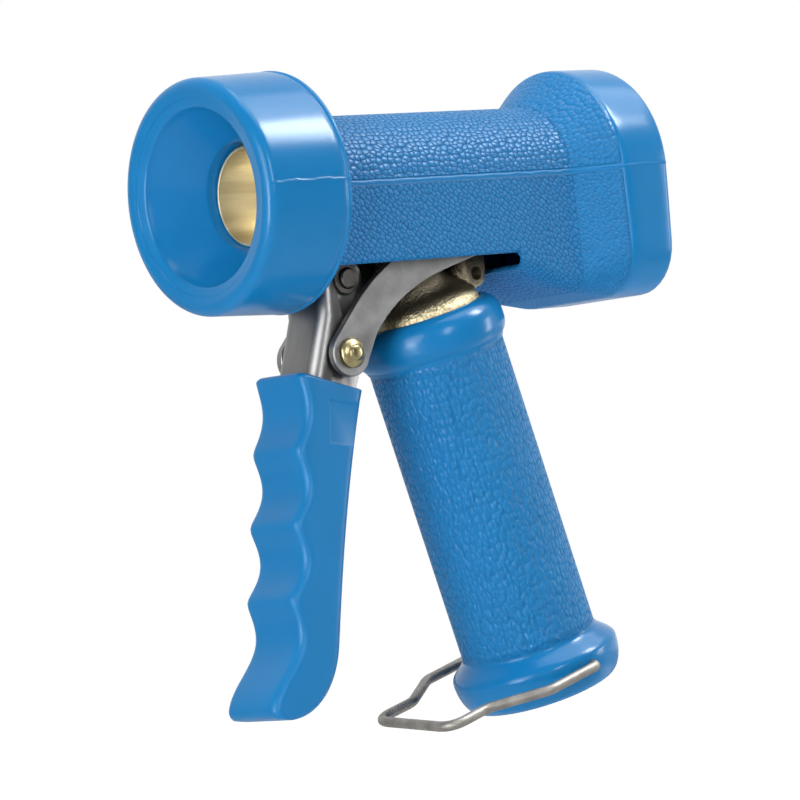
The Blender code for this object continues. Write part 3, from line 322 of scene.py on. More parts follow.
bpy.ops.mesh.primitive_uv_sphere_add(segments=48, ring_count=24, radius=1.0)
hump = bpy.context.object
hump.matrix_world = ON_HANDLE @ Matrix.Translation((0.0, 0.0, 0.1185)) @ Matrix.Diagonal((0.0160, 0.0099, 0.0105, 1.0))
bpy.ops.object.transform_apply(location=True, rotation=True, scale=True)
clear_selection()
for casting in (dome, front_lug, rear_lug, rear_web, hump, tube):
    casting.select_set(True)
bpy.context.view_layer.objects.active = tube
bpy.ops.object.join()
valve_body = tube
apply_modifier(valve_body, "REMESH", mode="VOXEL", voxel_size=0.00055, use_smooth_shade=True)
apply_modifier(valve_body, "SMOOTH", factor=0.5, iterations=8)
hump_foot = valve_body.vertex_groups.new(name="hump_foot")
for vertex in valve_body.data.vertices:
    seat = ON_HANDLE.inverted() @ vertex.co
    if 0.1175 < seat.z < 0.1275 and math.hypot(seat.x, seat.y) < 0.0158:
        hump_foot.add([vertex.index], 1.0, "REPLACE")
apply_modifier(valve_body, "SMOOTH", factor=0.5, iterations=90, vertex_group="hump_foot")
bore = [(0.0, 0.0300), (0.0070, 0.0300), (0.0070, 0.0200), (0.0035, 0.0200), (0.0035, 0.0140),
        (0.0100, 0.0140), (0.0100, -0.0260), (0.0123, -0.0260), (0.0123, -0.0420), (0.0, -0.0420)]
cut_away(valve_body, lathe("bore", bore, ON_BARREL, 48))
feed = [(0.0, AXES_MEET), (0.0060, AXES_MEET), (0.0060, 0.1099), (0.0128, 0.1099), (0.0128, 0.0989), (0.0, 0.0989)]
cut_away(valve_body, lathe("feed", feed, ON_HANDLE, 48))
cut_away(valve_body, lathe("pin_hole", [(0.0, -0.02), (0.0031, -0.02), (0.0031, 0.02), (0.0, 0.02)],
                           cross_pin(FULCRUM_AT), 32))
cut_away(valve_body, lathe("lug_hole", [(0.0, -0.02), (0.0020, -0.02), (0.0020, 0.02), (0.0, 0.02)],
                           cross_pin(REAR_LUG_AT), 32))
select_only(valve_body)
bpy.ops.object.shade_smooth_by_angle(angle=math.radians(40.0))


def grain_group():
    """Noise of two sizes for a metal's skin: a fine height and a slow mottle from 0 to 1."""
    group = bpy.data.node_groups.new("metal_grain", "ShaderNodeTree")
    group.interface.new_socket("Vector", in_out="INPUT", socket_type="NodeSocketVector")
    fine = group.interface.new_socket("Fine Scale", in_out="INPUT", socket_type="NodeSocketFloat")
    fine.default_value = 2500.0
    slow = group.interface.new_socket("Mottle Scale", in_out="INPUT", socket_type="NodeSocketFloat")
    slow.default_value = 160.0
    group.interface.new_socket("Height", in_out="OUTPUT", socket_type="NodeSocketFloat")
    group.interface.new_socket("Mottle", in_out="OUTPUT", socket_type="NodeSocketFloat")
    entry = group.nodes.new("NodeGroupInput")
    leave = group.nodes.new("NodeGroupOutput")
    for scale, result, detail in (("Fine Scale", "Height", 3.0), ("Mottle Scale", "Mottle", 4.0)):
        noise = add_node(group, "TexNoise")
        noise.inputs["Detail"].default_value = detail
        group.links.new(entry.outputs["Vector"], noise.inputs["Vector"])
        group.links.new(entry.outputs[scale], noise.inputs["Scale"])
        group.links.new(noise.outputs["Fac"], leave.inputs[result])
    return group


METAL_GRAIN = grain_group()


def metal(name, dark, light, rough, bump, fine_scale, mottle_scale=160.0, stretch=(1.0, 1.0, 1.0), depth=0.0002):
    """A metal whose colour wanders between two tones and whose skin has a grain; stretch draws the grain out."""
    material = bpy.data.materials.new(name)
    material.use_nodes = True
    tree = material.node_tree
    shader = tree.nodes["Principled BSDF"]
    shader.inputs["Metallic"].default_value = 1.0
    place = add_node(tree, "TexCoord")
    mapping = add_node(tree, "Mapping")
    mapping.inputs["Scale"].default_value = stretch
    tree.links.new(place.outputs["Object"], mapping.inputs["Vector"])
    grain = tree.nodes.new("ShaderNodeGroup")
    grain.node_tree = METAL_GRAIN
    grain.inputs["Fine Scale"].default_value = fine_scale
    grain.inputs["Mottle Scale"].default_value = mottle_scale
    tree.links.new(mapping.outputs["Vector"], grain.inputs["Vector"])
    tone = add_node(tree, "Mix", data_type="RGBA")
    tone.inputs["A"].default_value = (*dark, 1.0)
    tone.inputs["B"].default_value = (*light, 1.0)
    spread = add_node(tree, "MapRange")
    spread.inputs["From Min"].default_value = 0.35
    spread.inputs["From Max"].default_value = 0.65
    tree.links.new(grain.outputs["Mottle"], spread.inputs["Value"])
    tree.links.new(spread.outputs["Result"], tone.inputs["Factor"])
    tree.links.new(tone.outputs["Result"], shader.inputs["Base Color"])
    gloss = add_node(tree, "MapRange")
    gloss.inputs["To Min"].default_value = rough[0]
    gloss.inputs["To Max"].default_value = rough[1]
    tree.links.new(grain.outputs["Mottle"], gloss.inputs["Value"])
    tree.links.new(gloss.outputs["Result"], shader.inputs["Roughness"])
    relief = add_node(tree, "Bump")
    relief.inputs["Strength"].default_value = bump
    relief.inputs["Distance"].default_value = depth
    tree.links.new(grain.outputs["Height"], relief.inputs["Height"])
    tree.links.new(relief.outputs["Normal"], shader.inputs["Normal"])
    return material


def paint_over(piece, material):
    """The piece's one material."""
    piece.data.materials.clear()
    piece.data.materials.append(material)


def cast_brass():
    """Sandy cast brass, golden on the rim that stands over the grip, with painted shade above it: darker brown up the
    dome and near black higher up, under the barrel.
    """
    material = metal("cast_brass", (0.34, 0.29, 0.175), (0.78, 0.68, 0.43), (0.32, 0.46), 0.9, 1500.0, 1000.0, depth=0.0005)
    tree = material.node_tree
    shader = tree.nodes["Principled BSDF"]
    bright = shader.inputs["Base Color"].links[0].from_socket
    place = add_node(tree, "TexCoord")
    upright_place = add_node(tree, "Mapping")
    upright_place.inputs["Rotation"].default_value = (0.0, LEAN, 0.0)
    tree.links.new(place.outputs["Object"], upright_place.inputs["Vector"])
    split = add_node(tree, "SeparateXYZ")
    tree.links.new(upright_place.outputs["Vector"], split.inputs[0])
    # Painted shade: the brass darkens with height along the handle's axis, to brown over the dome and near black above
    # it.
    for low, high, colour in ((DOME_BASE + 0.0006, DOME_TOP, (0.23, 0.20, 0.14)),
                              (DOME_TOP + 0.0005, DOME_TOP + 0.0065, (0.055, 0.048, 0.038))):
        ramp = add_node(tree, "MapRange", interpolation_type="SMOOTHSTEP")
        ramp.inputs["From Min"].default_value = low
        ramp.inputs["From Max"].default_value = high
        tree.links.new(split.outputs["Z"], ramp.inputs["Value"])
        skin = add_node(tree, "Mix", data_type="RGBA")
        tree.links.new(ramp.outputs["Result"], skin.inputs["Factor"])
        tree.links.new(bright, skin.inputs["A"])
        skin.inputs["B"].default_value = (*colour, 1.0)
        bright = skin.outputs["Result"]
    tree.links.new(bright, shader.inputs["Base Color"])
    return material


paint_over(valve_body, cast_brass())
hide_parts("valve_body")
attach(valve_body, "gun")


# Nozzle tip
# A turned brass mouth screwed into the front of the casting. The rim is faced and lightly chamfered,
# and the bore steps down through a cone to the jet hole.
nozzle = lathe("nozzle_tip_turned", [
    (0.0120, -0.0263), (0.0120, -0.0343), (0.0155, -0.0343), (0.0155, -0.0456), (0.0142, -0.0460),
    (0.0142, -0.0484), (0.0141, -0.0486), (0.0139, -0.0487), (0.0136, -0.0487), (0.0134, -0.0486),
    (0.0133, -0.0483), (0.0124, -0.0354), (0.0121, -0.0350), (0.0115, -0.0345), (0.0065, -0.0322),
    (0.0065, -0.0285), (0.0087, -0.0263)], ON_BARREL, 128)
TURNED_BRASS = metal("turned_brass", (0.70, 0.60, 0.38), (1.0, 0.90, 0.66), (0.30, 0.42), 0.25, 900.0,
                     260.0, (0.06, 1.0, 1.0))
paint_over(nozzle, TURNED_BRASS)
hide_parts("nozzle_tip")
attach(nozzle, "gun")


# Barrel cover
# Blue rubber moulded over the barrel in a two-part mould: a glossy collar with a funnel in front,
# a pebbled D-shaped barrel open below, and a smooth bumper band behind. A seam runs along both sides.
COLLAR_RADIUS = 0.0340
COLLAR_FRONT = -0.0675
COLLAR_BACK = -0.0388
COLLAR_LIP = 0.0032
LIP_RADIUS = 0.0331
COVER_RADIUS = 0.0213
COVER_DROP = 0.0224
COVER_WALL = 0.0034
SLOT_FRONT = -0.0345
SLOT_REAR = 0.0288
SLOT_END = 0.0312
NECK_X = 0.0542
RIM_X = 0.0674
BACK_X = 0.0852
BACK_SLANT = 0.064
BACK_BLEND = 0.008
RIM_LEAN = 0.038
COLLAR_RISE = 0.0004
COLLAR_SLANT = 0.018
SEAM_HEIGHT = 0.00020
SEAM_HALF = 0.00080
SEAM_STEPS = (0.0002, 0.0004, 0.0006, 0.0008, 0.0011)


def seam_swell(offset):
    """How far the mould seam stands out at a height above or below the parting line."""
    if abs(offset) >= SEAM_HALF:
        return 0.0
    return SEAM_HEIGHT * math.cos(math.pi * offset / (2.0 * SEAM_HALF)) ** 2


def seam_waver(x):
    """The parting line isn't quite straight: the mould halves met a hair off here and there."""
    return 0.00016 * math.sin(x * 620.0) + 0.00010 * math.sin(x * 1730.0 + 0.8)


def barrel_ring(x, radius, half_width, drop, corner, seam=1.0):
    """Points (x, y, z) round the cover: half-round top, flat sides, flat bottom with round corners."""
    lift = seam * seam_waver(x)
    side = [(half_width + seam * seam_swell(0.0), lift)]
    up = [(half_width * math.sqrt(1.0 - (z / radius) ** 2) + seam * seam_swell(z), z + lift)
          for z in SEAM_STEPS]
    start = math.degrees(math.asin(SEAM_STEPS[-1] / radius))
    top = bow((0.0, 0.0), (half_width, radius), start, 180.0 - start, 56)[1:-1]
    down = [(half_width + seam * seam_swell(z) * 0.4, -z + lift) for z in SEAM_STEPS]
    low = -drop + corner
    wall = [(half_width, -SEAM_STEPS[-1] + (low + SEAM_STEPS[-1]) * step / 8) for step in range(1, 8)]
    turn = bow((half_width - corner, low), (corner, corner), 0.0, -90.0, 8)
    right_half = side + up
    left_half = [(-y, z) for y, z in reversed(up)] + [(-side[0][0], lift)]
    right_low = down + wall + turn
    left_low = [(-y, z) for y, z in right_low]
    flat = [((half_width - corner) * (1.0 - 2.0 * step / 8), -drop) for step in range(1, 8)]
    loop = right_half + top + left_half + left_low
    loop += [(-y, z) for y, z in flat] + list(reversed(right_low))
    return [(x, y, z) for y, z in loop]


def pull_rings(name, rings):
    """A ring of vertices extruded again and again, each new ring drawn to its own section."""
    clear_selection()
    bpy.ops.mesh.primitive_circle_add(vertices=len(rings[0]), radius=0.01)
    piece = bpy.context.object
    piece.name = name
    bpy.ops.object.mode_set(mode="EDIT")
    bpy.ops.mesh.select_all(action="SELECT")
    for index, ring in enumerate(rings):
        if index:
            bpy.ops.mesh.extrude_region_move()
        shape = bmesh.from_edit_mesh(piece.data)
        for vertex, point in zip([v for v in shape.verts if v.select], ring):
            vertex.co = point
        bmesh.update_edit_mesh(piece.data)
    return piece


def blend(start, end, share):
    return start + (end - start) * share


barrel_rings = []
BEAD_HEIGHT = 0.0005
for offset, raised in ((-0.0040, 0.5), (0.0004, 0.5), (0.0007, 0.87), (0.0011, 1.0), (0.0015, 0.87), (0.0018, 0.5), (0.0021, 0.0)):
    full = COVER_RADIUS + BEAD_HEIGHT * raised
    barrel_rings.append(barrel_ring(COLLAR_BACK + offset, full, full, COVER_DROP, 0.0012))
barrel_rings.append(barrel_ring(SLOT_FRONT, COVER_RADIUS, COVER_RADIUS, COVER_DROP, 0.0012))
for step in range(1, 25):
    x = blend(SLOT_FRONT, SLOT_REAR, step / 24)
    barrel_rings.append(barrel_ring(x, COVER_RADIUS, COVER_RADIUS, COVER_DROP, 0.0012))
barrel_rings.append(barrel_ring(SLOT_END, COVER_RADIUS, COVER_RADIUS, COVER_DROP, 0.0012))
HULL_DROP = 0.0274
HULL_DEEP = 0.0347
HULL_LIP_RISE = 0.0004
HULL_LIP_REACH = 0.0065
for step in range(17):
    share = step / 16
    x = blend(SLOT_END + 0.0002, NECK_X - 0.0020, share)
    fall = min(1.0, (x - SLOT_END) / HULL_LIP_REACH)
    fall *= fall * (3.0 - 2.0 * fall)
    drop = blend(HULL_DROP, HULL_DEEP, (math.sin(share * math.pi / 2.0) + share) / 2.0)
    drop -= HULL_LIP_RISE * (1.0 - fall)
    barrel_rings.append(barrel_ring(x, COVER_RADIUS, COVER_RADIUS, drop, blend(0.0034, 0.0052, fall)))


def lower_part(z):
    """A height below the parting line counts in full and one above it not at all, with a soft change between."""
    return (z - math.hypot(z, BACK_BLEND)) / 2.0


def flare_ring(x, share, inset=0.0):
    """A ring of the cone and band, its size between the barrel's and the band's. The back slants below."""
    ring = barrel_ring(x, blend(COVER_RADIUS, 0.0318, share) - inset, blend(COVER_RADIUS, 0.0306, share) - inset,
                       blend(0.0350, 0.0374, share) - inset, blend(0.0052, 0.0140, share) - inset * 0.5)
    behind = max(0.0, (x - RIM_X) / (BACK_X - RIM_X))
    slant = BACK_SLANT * behind
    lean = RIM_LEAN * share * (1.0 - behind)
    return [(px + slant * lower_part(pz) - lean * max(0.0, pz), py, pz) for px, py, pz in ring]


for offset, share in ((-0.0010, 0.014), (0.0, 0.060), (0.0008, 0.118), (0.0016, 0.180)):
    barrel_rings.append(flare_ring(NECK_X + offset, share))
for step in range(1, 6):
    barrel_rings.append(flare_ring(blend(NECK_X + 0.0016, RIM_X - 0.0008, step / 5), blend(0.180, 0.925, step / 5)))
for offset, share in ((0.0, 0.975), (0.0006, 0.993), (0.0014, 1.0)):
    barrel_rings.append(flare_ring(RIM_X + offset, share))
for step in range(1, 6):
    barrel_rings.append(flare_ring(blend(RIM_X + 0.0014, BACK_X - 0.0024, step / 5), 1.0))
for step in range(1, 7):
    angle = math.pi / 2.0 * step / 6
    barrel_rings.append(flare_ring(BACK_X - 0.0024 * (1.0 - math.sin(angle)), 1.0, 0.0024 * (1.0 - math.cos(angle))))
rear_edge_ring = barrel_rings[-1]
for share in (0.85, 0.65, 0.45, 0.25, 0.08):
    barrel_rings.append([(BACK_X + BACK_SLANT * lower_part(z * share), y * share, z * share) for x, y, z in rear_edge_ring])
barrel = pull_rings("cover_barrel", barrel_rings)
bpy.ops.mesh.edge_face_add()
shape = bmesh.from_edit_mesh(barrel.data)
for face in shape.faces:
    middle = face.calc_center_median()
    under_slot = SLOT_FRONT < middle.x < SLOT_END and abs(middle.y) < COVER_RADIUS - 0.0012
    below_step = SLOT_END < middle.x < SLOT_END + 0.0002
    face.select = middle.z < -COVER_DROP + 0.00001 and (under_slot or below_step)
bmesh.update_edit_mesh(barrel.data)
bpy.ops.mesh.delete(type="FACE")
set_down(barrel, Matrix.Translation(BARREL_AT))
thin_lip = barrel.vertex_groups.new(name="thin_lip")
for vertex in barrel.data.vertices:
    seat = vertex.co - BARREL_AT
    if SLOT_END + 0.0001 < seat.x < SLOT_END + 0.0020 and seat.z < -COVER_DROP:
        thin_lip.add([vertex.index], 1.0, "REPLACE")
# The inner shell takes the second material, which is painted shade.
apply_modifier(barrel, "SOLIDIFY", thickness=COVER_WALL, offset=-1.0, use_even_offset=False, use_rim=True,
               material_offset=1, vertex_group="thin_lip", invert_vertex_group=True, thickness_vertex_group=0.25)
select_only(barrel)
bpy.ops.object.shade_smooth_by_angle(angle=math.radians(35.0))


def round_ring(x, radius, seam=1.0):
    """Points round the collar, close together at the two seams."""
    lift = seam * seam_waver(x)
    right = [(radius + seam * seam_swell(0.0), lift)]
    up = [(math.sqrt(radius * radius - z * z) + seam * seam_swell(z), z + lift) for z in SEAM_STEPS]
    down = [(math.sqrt(radius * radius - z * z) + seam * seam_swell(z) * 0.4, lift - z) for z in SEAM_STEPS]
    start = math.degrees(math.asin(SEAM_STEPS[-1] / radius))
    top = bow((0.0, 0.0), (radius, radius), start, 180.0 - start, 64)[1:-1]
    upper_half = right + up + top + [(-y, z) for y, z in reversed(up)] + [(-right[0][0], lift)]
    lower_half = [(-y, z) for y, z in down] + [(y, -z) for y, z in reversed(top)] + down[::-1]
    forward = min(1.0, max(0.0, (COLLAR_BACK - x) / (COLLAR_BACK - COLLAR_FRONT)))
    return [(x + forward * (0.0003 - COLLAR_SLANT * z), y, z + COLLAR_RISE) for y, z in upper_half + lower_half]


collar_line = [(COLLAR_BACK, 0.0205, 0.0)]
back_edge = bow((COLLAR_RADIUS - 0.0007, COLLAR_BACK - 0.0009), (0.0009, 0.0009), 90.0, -60.0, 10)
collar_line += [(x, r, 1.1) for r, x in back_edge]
for step in range(1, 25):
    collar_line.append((blend(COLLAR_BACK - 0.0017, COLLAR_FRONT + COLLAR_LIP, step / 25),
                        blend(COLLAR_RADIUS, LIP_RADIUS, step / 25), 1.1))
lip = bow((LIP_RADIUS - COLLAR_LIP, COLLAR_FRONT + COLLAR_LIP), (COLLAR_LIP, COLLAR_LIP), 0.0, -78.0, 12)
collar_line += [(x, r, max(0.0, 1.1 * (1.0 - step / 10))) for step, (r, x) in enumerate(lip)]
LIP_FACE = ((0.0299, 0.0000), (0.0290, 0.0002), (0.0281, 0.0005), (0.0278, 0.0006), (0.0276, 0.0006),
            (0.0275, 0.0008), (0.0266, 0.0011), (0.0257, 0.0014), (0.0252, 0.0016), (0.0248, 0.0020), (0.0246, 0.0026))
collar_line += [(COLLAR_FRONT + behind, r, 0.0) for r, behind in LIP_FACE]
FUNNEL_DEEP = -0.0519
for step in range(1, 9):
    collar_line.append((blend(COLLAR_FRONT + 0.0026, FUNNEL_DEEP, step / 8), blend(0.0246, 0.0151, step / 8), 0.0))
collar_line += [(FUNNEL_DEEP + 0.0002, 0.0150, 0.0), (FUNNEL_DEEP + 0.0005, 0.0149, 0.0), (-0.0464, 0.0147, 0.0),
                (-0.0460, 0.0158, 0.0), (-0.0358, 0.0158, 0.0)]
collar = pull_rings("cover_collar", [round_ring(*point) for point in collar_line])
set_down(collar, Matrix.Translation(BARREL_AT))
select_only(collar)
bpy.ops.object.shade_smooth_by_angle(angle=math.radians(40.0))


def pebble_group():
    """Moulded pebbles: domed cells that meet in sharp grooves. Gives a height and a groove mask from 0 to 1."""
    group = bpy.data.node_groups.new("pebbles", "ShaderNodeTree")
    group.interface.new_socket("Vector", in_out="INPUT", socket_type="NodeSocketVector")
    scale = group.interface.new_socket("Scale", in_out="INPUT", socket_type="NodeSocketFloat")
    scale.default_value = 500.0
    wobble = group.interface.new_socket("Wobble", in_out="INPUT", socket_type="NodeSocketFloat")
    wobble.default_value = 0.0006
    softness = group.interface.new_socket("Softness", in_out="INPUT", socket_type="NodeSocketFloat")
    softness.default_value = 0.01
    group.interface.new_socket("Height", in_out="OUTPUT", socket_type="NodeSocketFloat")
    group.interface.new_socket("Groove", in_out="OUTPUT", socket_type="NodeSocketFloat")
    entry = group.nodes.new("NodeGroupInput")
    leave = group.nodes.new("NodeGroupOutput")
    noise = add_node(group, "TexNoise")
    noise.inputs["Scale"].default_value = 350.0
    noise.inputs["Detail"].default_value = 2.0
    group.links.new(entry.outputs["Vector"], noise.inputs["Vector"])
    centred = add_node(group, "VectorMath", operation="SUBTRACT")
    centred.inputs[1].default_value = (0.5, 0.5, 0.5)
    group.links.new(noise.outputs["Color"], centred.inputs[0])
    pushed = add_node(group, "VectorMath", operation="SCALE")
    group.links.new(centred.outputs["Vector"], pushed.inputs[0])
    group.links.new(entry.outputs["Wobble"], pushed.inputs["Scale"])
    bent = add_node(group, "VectorMath", operation="ADD")
    group.links.new(entry.outputs["Vector"], bent.inputs[0])
    group.links.new(pushed.outputs["Vector"], bent.inputs[1])
    cells = {}
    for feature in ("SMOOTH_F1", "DISTANCE_TO_EDGE"):
        cells[feature] = add_node(group, "TexVoronoi", feature=feature, voronoi_dimensions="2D")
        cells[feature].inputs["Randomness"].default_value = 0.75
        group.links.new(bent.outputs["Vector"], cells[feature].inputs["Vector"])
        group.links.new(entry.outputs["Scale"], cells[feature].inputs["Scale"])
    group.links.new(entry.outputs["Softness"], cells["SMOOTH_F1"].inputs["Smoothness"])
    squared = add_node(group, "Math", operation="POWER")
    squared.inputs[1].default_value = 2.0
    group.links.new(cells["SMOOTH_F1"].outputs["Distance"], squared.inputs[0])
    domed = add_node(group, "Math", operation="SUBTRACT", use_clamp=True)
    domed.inputs[0].default_value = 1.0
    group.links.new(squared.outputs[0], domed.inputs[1])
    group.links.new(domed.outputs[0], leave.inputs["Height"])
    groove = add_node(group, "MapRange", interpolation_type="SMOOTHSTEP")
    groove.inputs["From Min"].default_value = 0.02
    groove.inputs["From Max"].default_value = 0.22
    groove.inputs["To Min"].default_value = 1.0
    groove.inputs["To Max"].default_value = 0.0
    group.links.new(cells["DISTANCE_TO_EDGE"].outputs["Distance"], groove.inputs["Value"])
    group.links.new(groove.outputs["Result"], leave.inputs["Groove"])
    return group


PEBBLES = pebble_group()
BLUE = (0.008, 0.218, 0.535)
# The colour that painted shade gives the grooves between pebbles and grain cells.
GROOVE_PAINTED_SHADE = (0.004, 0.095, 0.290)


def rubber(name, rough, lift=1.0):
    """Smooth blue rubber with a faint wandering tone, paler where lift is over 1."""
    material = bpy.data.materials.new(name)
    material.use_nodes = True
    tree = material.node_tree
    shader = tree.nodes["Principled BSDF"]
    shader.inputs["Roughness"].default_value = rough
    shader.inputs["Specular IOR Level"].default_value = 0.24
    place = add_node(tree, "TexCoord")
    drift = add_node(tree, "TexNoise")
    drift.inputs["Scale"].default_value = 55.0
    drift.inputs["Detail"].default_value = 3.0
    tree.links.new(place.outputs["Object"], drift.inputs["Vector"])
    tone = add_node(tree, "Mix", data_type="RGBA")
    for side, share in (("A", 0.92 * lift), ("B", 1.08 * lift)):
        tone.inputs[side].default_value = (BLUE[0] * share, BLUE[1] * share, BLUE[2] * share, 1.0)
    tree.links.new(drift.outputs["Fac"], tone.inputs["Factor"])
    tree.links.new(tone.outputs["Result"], shader.inputs["Base Color"])
    return material, tree, shader, place, tone


SMOOTH_RUBBER = rubber("smooth_rubber", 0.22)[0]


def above(tree, vector, axis, low, high):
    """A mask that rises from 0 to 1 along one axis of a vector."""
    split = add_node(tree, "SeparateXYZ")
    tree.links.new(vector, split.inputs[0])
    ramp = add_node(tree, "MapRange", interpolation_type="SMOOTHSTEP")
    ramp.inputs["From Min"].default_value = low
    ramp.inputs["From Max"].default_value = high
    tree.links.new(split.outputs[axis], ramp.inputs["Value"])
    return ramp.outputs["Result"]


def feed(tree, value, socket):
    """Sets a plain number on a socket, or links one that varies to it."""
    if isinstance(value, float):
        socket.default_value = value
    else:
        tree.links.new(value, socket)


def times(tree, first, second):
    node = add_node(tree, "Math", operation="MULTIPLY")
    tree.links.new(first, node.inputs[0])
    feed(tree, second, node.inputs[1])
    return node.outputs[0]


def textured(tree, shader, tone, height, groove, field, dull, groove_shade_share, depth, rough):
    """Puts a moulded texture on rubber inside a field: rough grooves darkened by painted shade, and relief, on a duller
    skin.
    """
    grooves = times(tree, groove, field)
    groove_shade_mix = add_node(tree, "Mix", data_type="RGBA")
    tree.links.new(times(tree, grooves, groove_shade_share), groove_shade_mix.inputs["Factor"])
    tree.links.new(tone.outputs["Result"], groove_shade_mix.inputs["A"])
    groove_shade_mix.inputs["B"].default_value = (*GROOVE_PAINTED_SHADE, 1.0)
    tree.links.new(groove_shade_mix.outputs["Result"], shader.inputs["Base Color"])
    relief = add_node(tree, "Bump")
    relief.inputs["Strength"].default_value = 1.0
    relief.inputs["Distance"].default_value = depth
    tree.links.new(times(tree, height, field), relief.inputs["Height"])
    tree.links.new(relief.outputs["Normal"], shader.inputs["Normal"])
    gloss = add_node(tree, "MapRange")
    gloss.inputs["To Min"].default_value = shader.inputs["Roughness"].default_value
    feed(tree, rough, gloss.inputs["To Max"])
    tree.links.new(dull, gloss.inputs["Value"])
    dead = add_node(tree, "MapRange")
    tree.links.new(grooves, dead.inputs["Value"])
    tree.links.new(gloss.outputs["Result"], dead.inputs["To Min"])
    dead.inputs["To Max"].default_value = 0.85
    tree.links.new(dead.outputs["Result"], shader.inputs["Roughness"])


def pebbled_rubber():
    """The barrel's skin: coarse cells above the seam, finer slanted ones below, smooth borders."""
    material, tree, shader, place, tone = rubber("pebbled_rubber", 0.22, 1.06)
    where = place.outputs["Object"]
    upper = above(tree, where, "Z", BARREL_AT.z - 0.0001, BARREL_AT.z + 0.0001)
    split = add_node(tree, "SeparateXYZ")
    tree.links.new(where, split.inputs[0])
    rise = add_node(tree, "Math", operation="SUBTRACT")
    rise.inputs[1].default_value = BARREL_AT.z
    tree.links.new(split.outputs["Z"], rise.inputs[0])
    angle = add_node(tree, "Math", operation="ARCTAN2")
    tree.links.new(split.outputs["Y"], angle.inputs[0])
    tree.links.new(rise.outputs[0], angle.inputs[1])
    aside = add_node(tree, "Math", operation="ABSOLUTE")
    tree.links.new(split.outputs["Y"], aside.inputs[0])
    outward = add_node(tree, "Math", operation="MINIMUM")
    outward.inputs[1].default_value = COVER_RADIUS
    tree.links.new(aside.outputs[0], outward.inputs[0])
    down = add_node(tree, "Math", operation="ADD")
    tree.links.new(outward.outputs[0], down.inputs[0])
    tree.links.new(rise.outputs[0], down.inputs[1])
    results = []
    on_cone = above(tree, where, "X", BARREL_AT.x + NECK_X - 0.0002, BARREL_AT.x + NECK_X)
    for height_round, stretch, turn, scale in ((times(tree, angle.outputs[0], COVER_RADIUS), 1.30, 0.0, 640.0),
                                               (down.outputs[0], 1.50, 38.0, 820.0)):
        unrolled = add_node(tree, "CombineXYZ")
        tree.links.new(split.outputs["X"], unrolled.inputs["X"])
        tree.links.new(height_round, unrolled.inputs["Y"])
        mapping = add_node(tree, "Mapping", vector_type="TEXTURE")
        mapping.inputs["Scale"].default_value = (stretch, 1.0, 1.0)
        mapping.inputs["Rotation"].default_value = (0.0, 0.0, math.radians(-turn))
        tree.links.new(unrolled.outputs["Vector"], mapping.inputs["Vector"])
        cells = tree.nodes.new("ShaderNodeGroup")
        cells.node_tree = PEBBLES
        cells.inputs["Wobble"].default_value = 0.0005
        tree.links.new(mapping.outputs["Vector"], cells.inputs["Vector"])
        finer = add_node(tree, "MapRange")
        finer.inputs["To Min"].default_value = scale
        finer.inputs["To Max"].default_value = scale * 1.4
        tree.links.new(on_cone, finer.inputs["Value"])
        tree.links.new(finer.outputs["Result"], cells.inputs["Scale"])
        results.append(cells)
    height = add_node(tree, "Mix", data_type="FLOAT")
    groove = add_node(tree, "Mix", data_type="FLOAT")
    for mix, output in ((height, "Height"), (groove, "Groove")):
        tree.links.new(upper, mix.inputs["Factor"])
        tree.links.new(results[1].outputs[output], mix.inputs["A"])
        tree.links.new(results[0].outputs[output], mix.inputs["B"])
    front = above(tree, where, "X", BARREL_AT.x + COLLAR_BACK + 0.0022, BARREL_AT.x + COLLAR_BACK + 0.0032)
    rear = above(tree, where, "X", BARREL_AT.x + RIM_X - 0.0006, BARREL_AT.x + RIM_X - 0.0016)
    off_seam = add_node(tree, "Math", operation="MAXIMUM")
    for side, socket in ((1.0, 0), (-1.0, 1)):
        edge = above(tree, where, "Z", BARREL_AT.z + side * 0.0007, BARREL_AT.z + side * 0.0011)
        tree.links.new(edge, off_seam.inputs[socket])
    dull = times(tree, front, rear)
    field = times(tree, dull, off_seam.outputs[0])
    shallow = add_node(tree, "MapRange")
    shallow.inputs["To Min"].default_value = 1.0
    shallow.inputs["To Max"].default_value = 0.4
    tree.links.new(on_cone, shallow.inputs["Value"])
    lines = times(tree, groove.outputs["Result"], shallow.outputs["Result"])
    above_and_below = []
    # Painted shade in the grooves, stronger above the seam than below, and the skin's roughness above and below.
    for low_value, high_value in ((0.60, 0.66), (0.52, 0.36)):
        by_half = add_node(tree, "MapRange")
        by_half.inputs["To Min"].default_value = low_value
        by_half.inputs["To Max"].default_value = high_value
        tree.links.new(upper, by_half.inputs["Value"])
        above_and_below.append(by_half.outputs["Result"])
    groove_shade_by_half, roughness = above_and_below
    textured(tree, shader, tone, height.outputs["Result"], lines, field, dull, groove_shade_by_half, 0.00050, roughness)
    return material


paint_over(barrel, pebbled_rubber())
# Painted shade: the cover's inner shell is painted near black where the opening lies in shadow; the rubber there is
# blue.
INSIDE_PAINTED_SHADE = metal("inside_painted_shade", (0.010, 0.008, 0.007), (0.022, 0.017, 0.013), (0.55, 0.70), 0.5, 900.0)
barrel.data.materials.append(INSIDE_PAINTED_SHADE)
paint_over(collar, SMOOTH_RUBBER)
for piece in (barrel, collar):
    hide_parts("barrel_cover")
    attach(piece, "gun")


# Handle grip
# A blue rubber sleeve over the brass pipe: glossy collar under the dome, a long grained grip and a
# smooth flared foot with a hole on each side for the wire bail.
HANDLE_RADIUS = 0.0200
GRIP_TOP = 0.11658
FOOT_RADIUS = 0.0248
BAIL_AT = Vector((-0.00234, 0.0, 0.008794))
BAIL_TILT = Matrix.Rotation(math.radians(4.8), 4, "X")


def s_curve(start, end, count):
    """Points of a soft step between two profile points, the start left out."""
    shares = [step / count for step in range(1, count + 1)]
    return [(blend(start[0], end[0], (1.0 - math.cos(math.pi * s)) / 2.0), blend(start[1], end[1], s)) for s in shares]


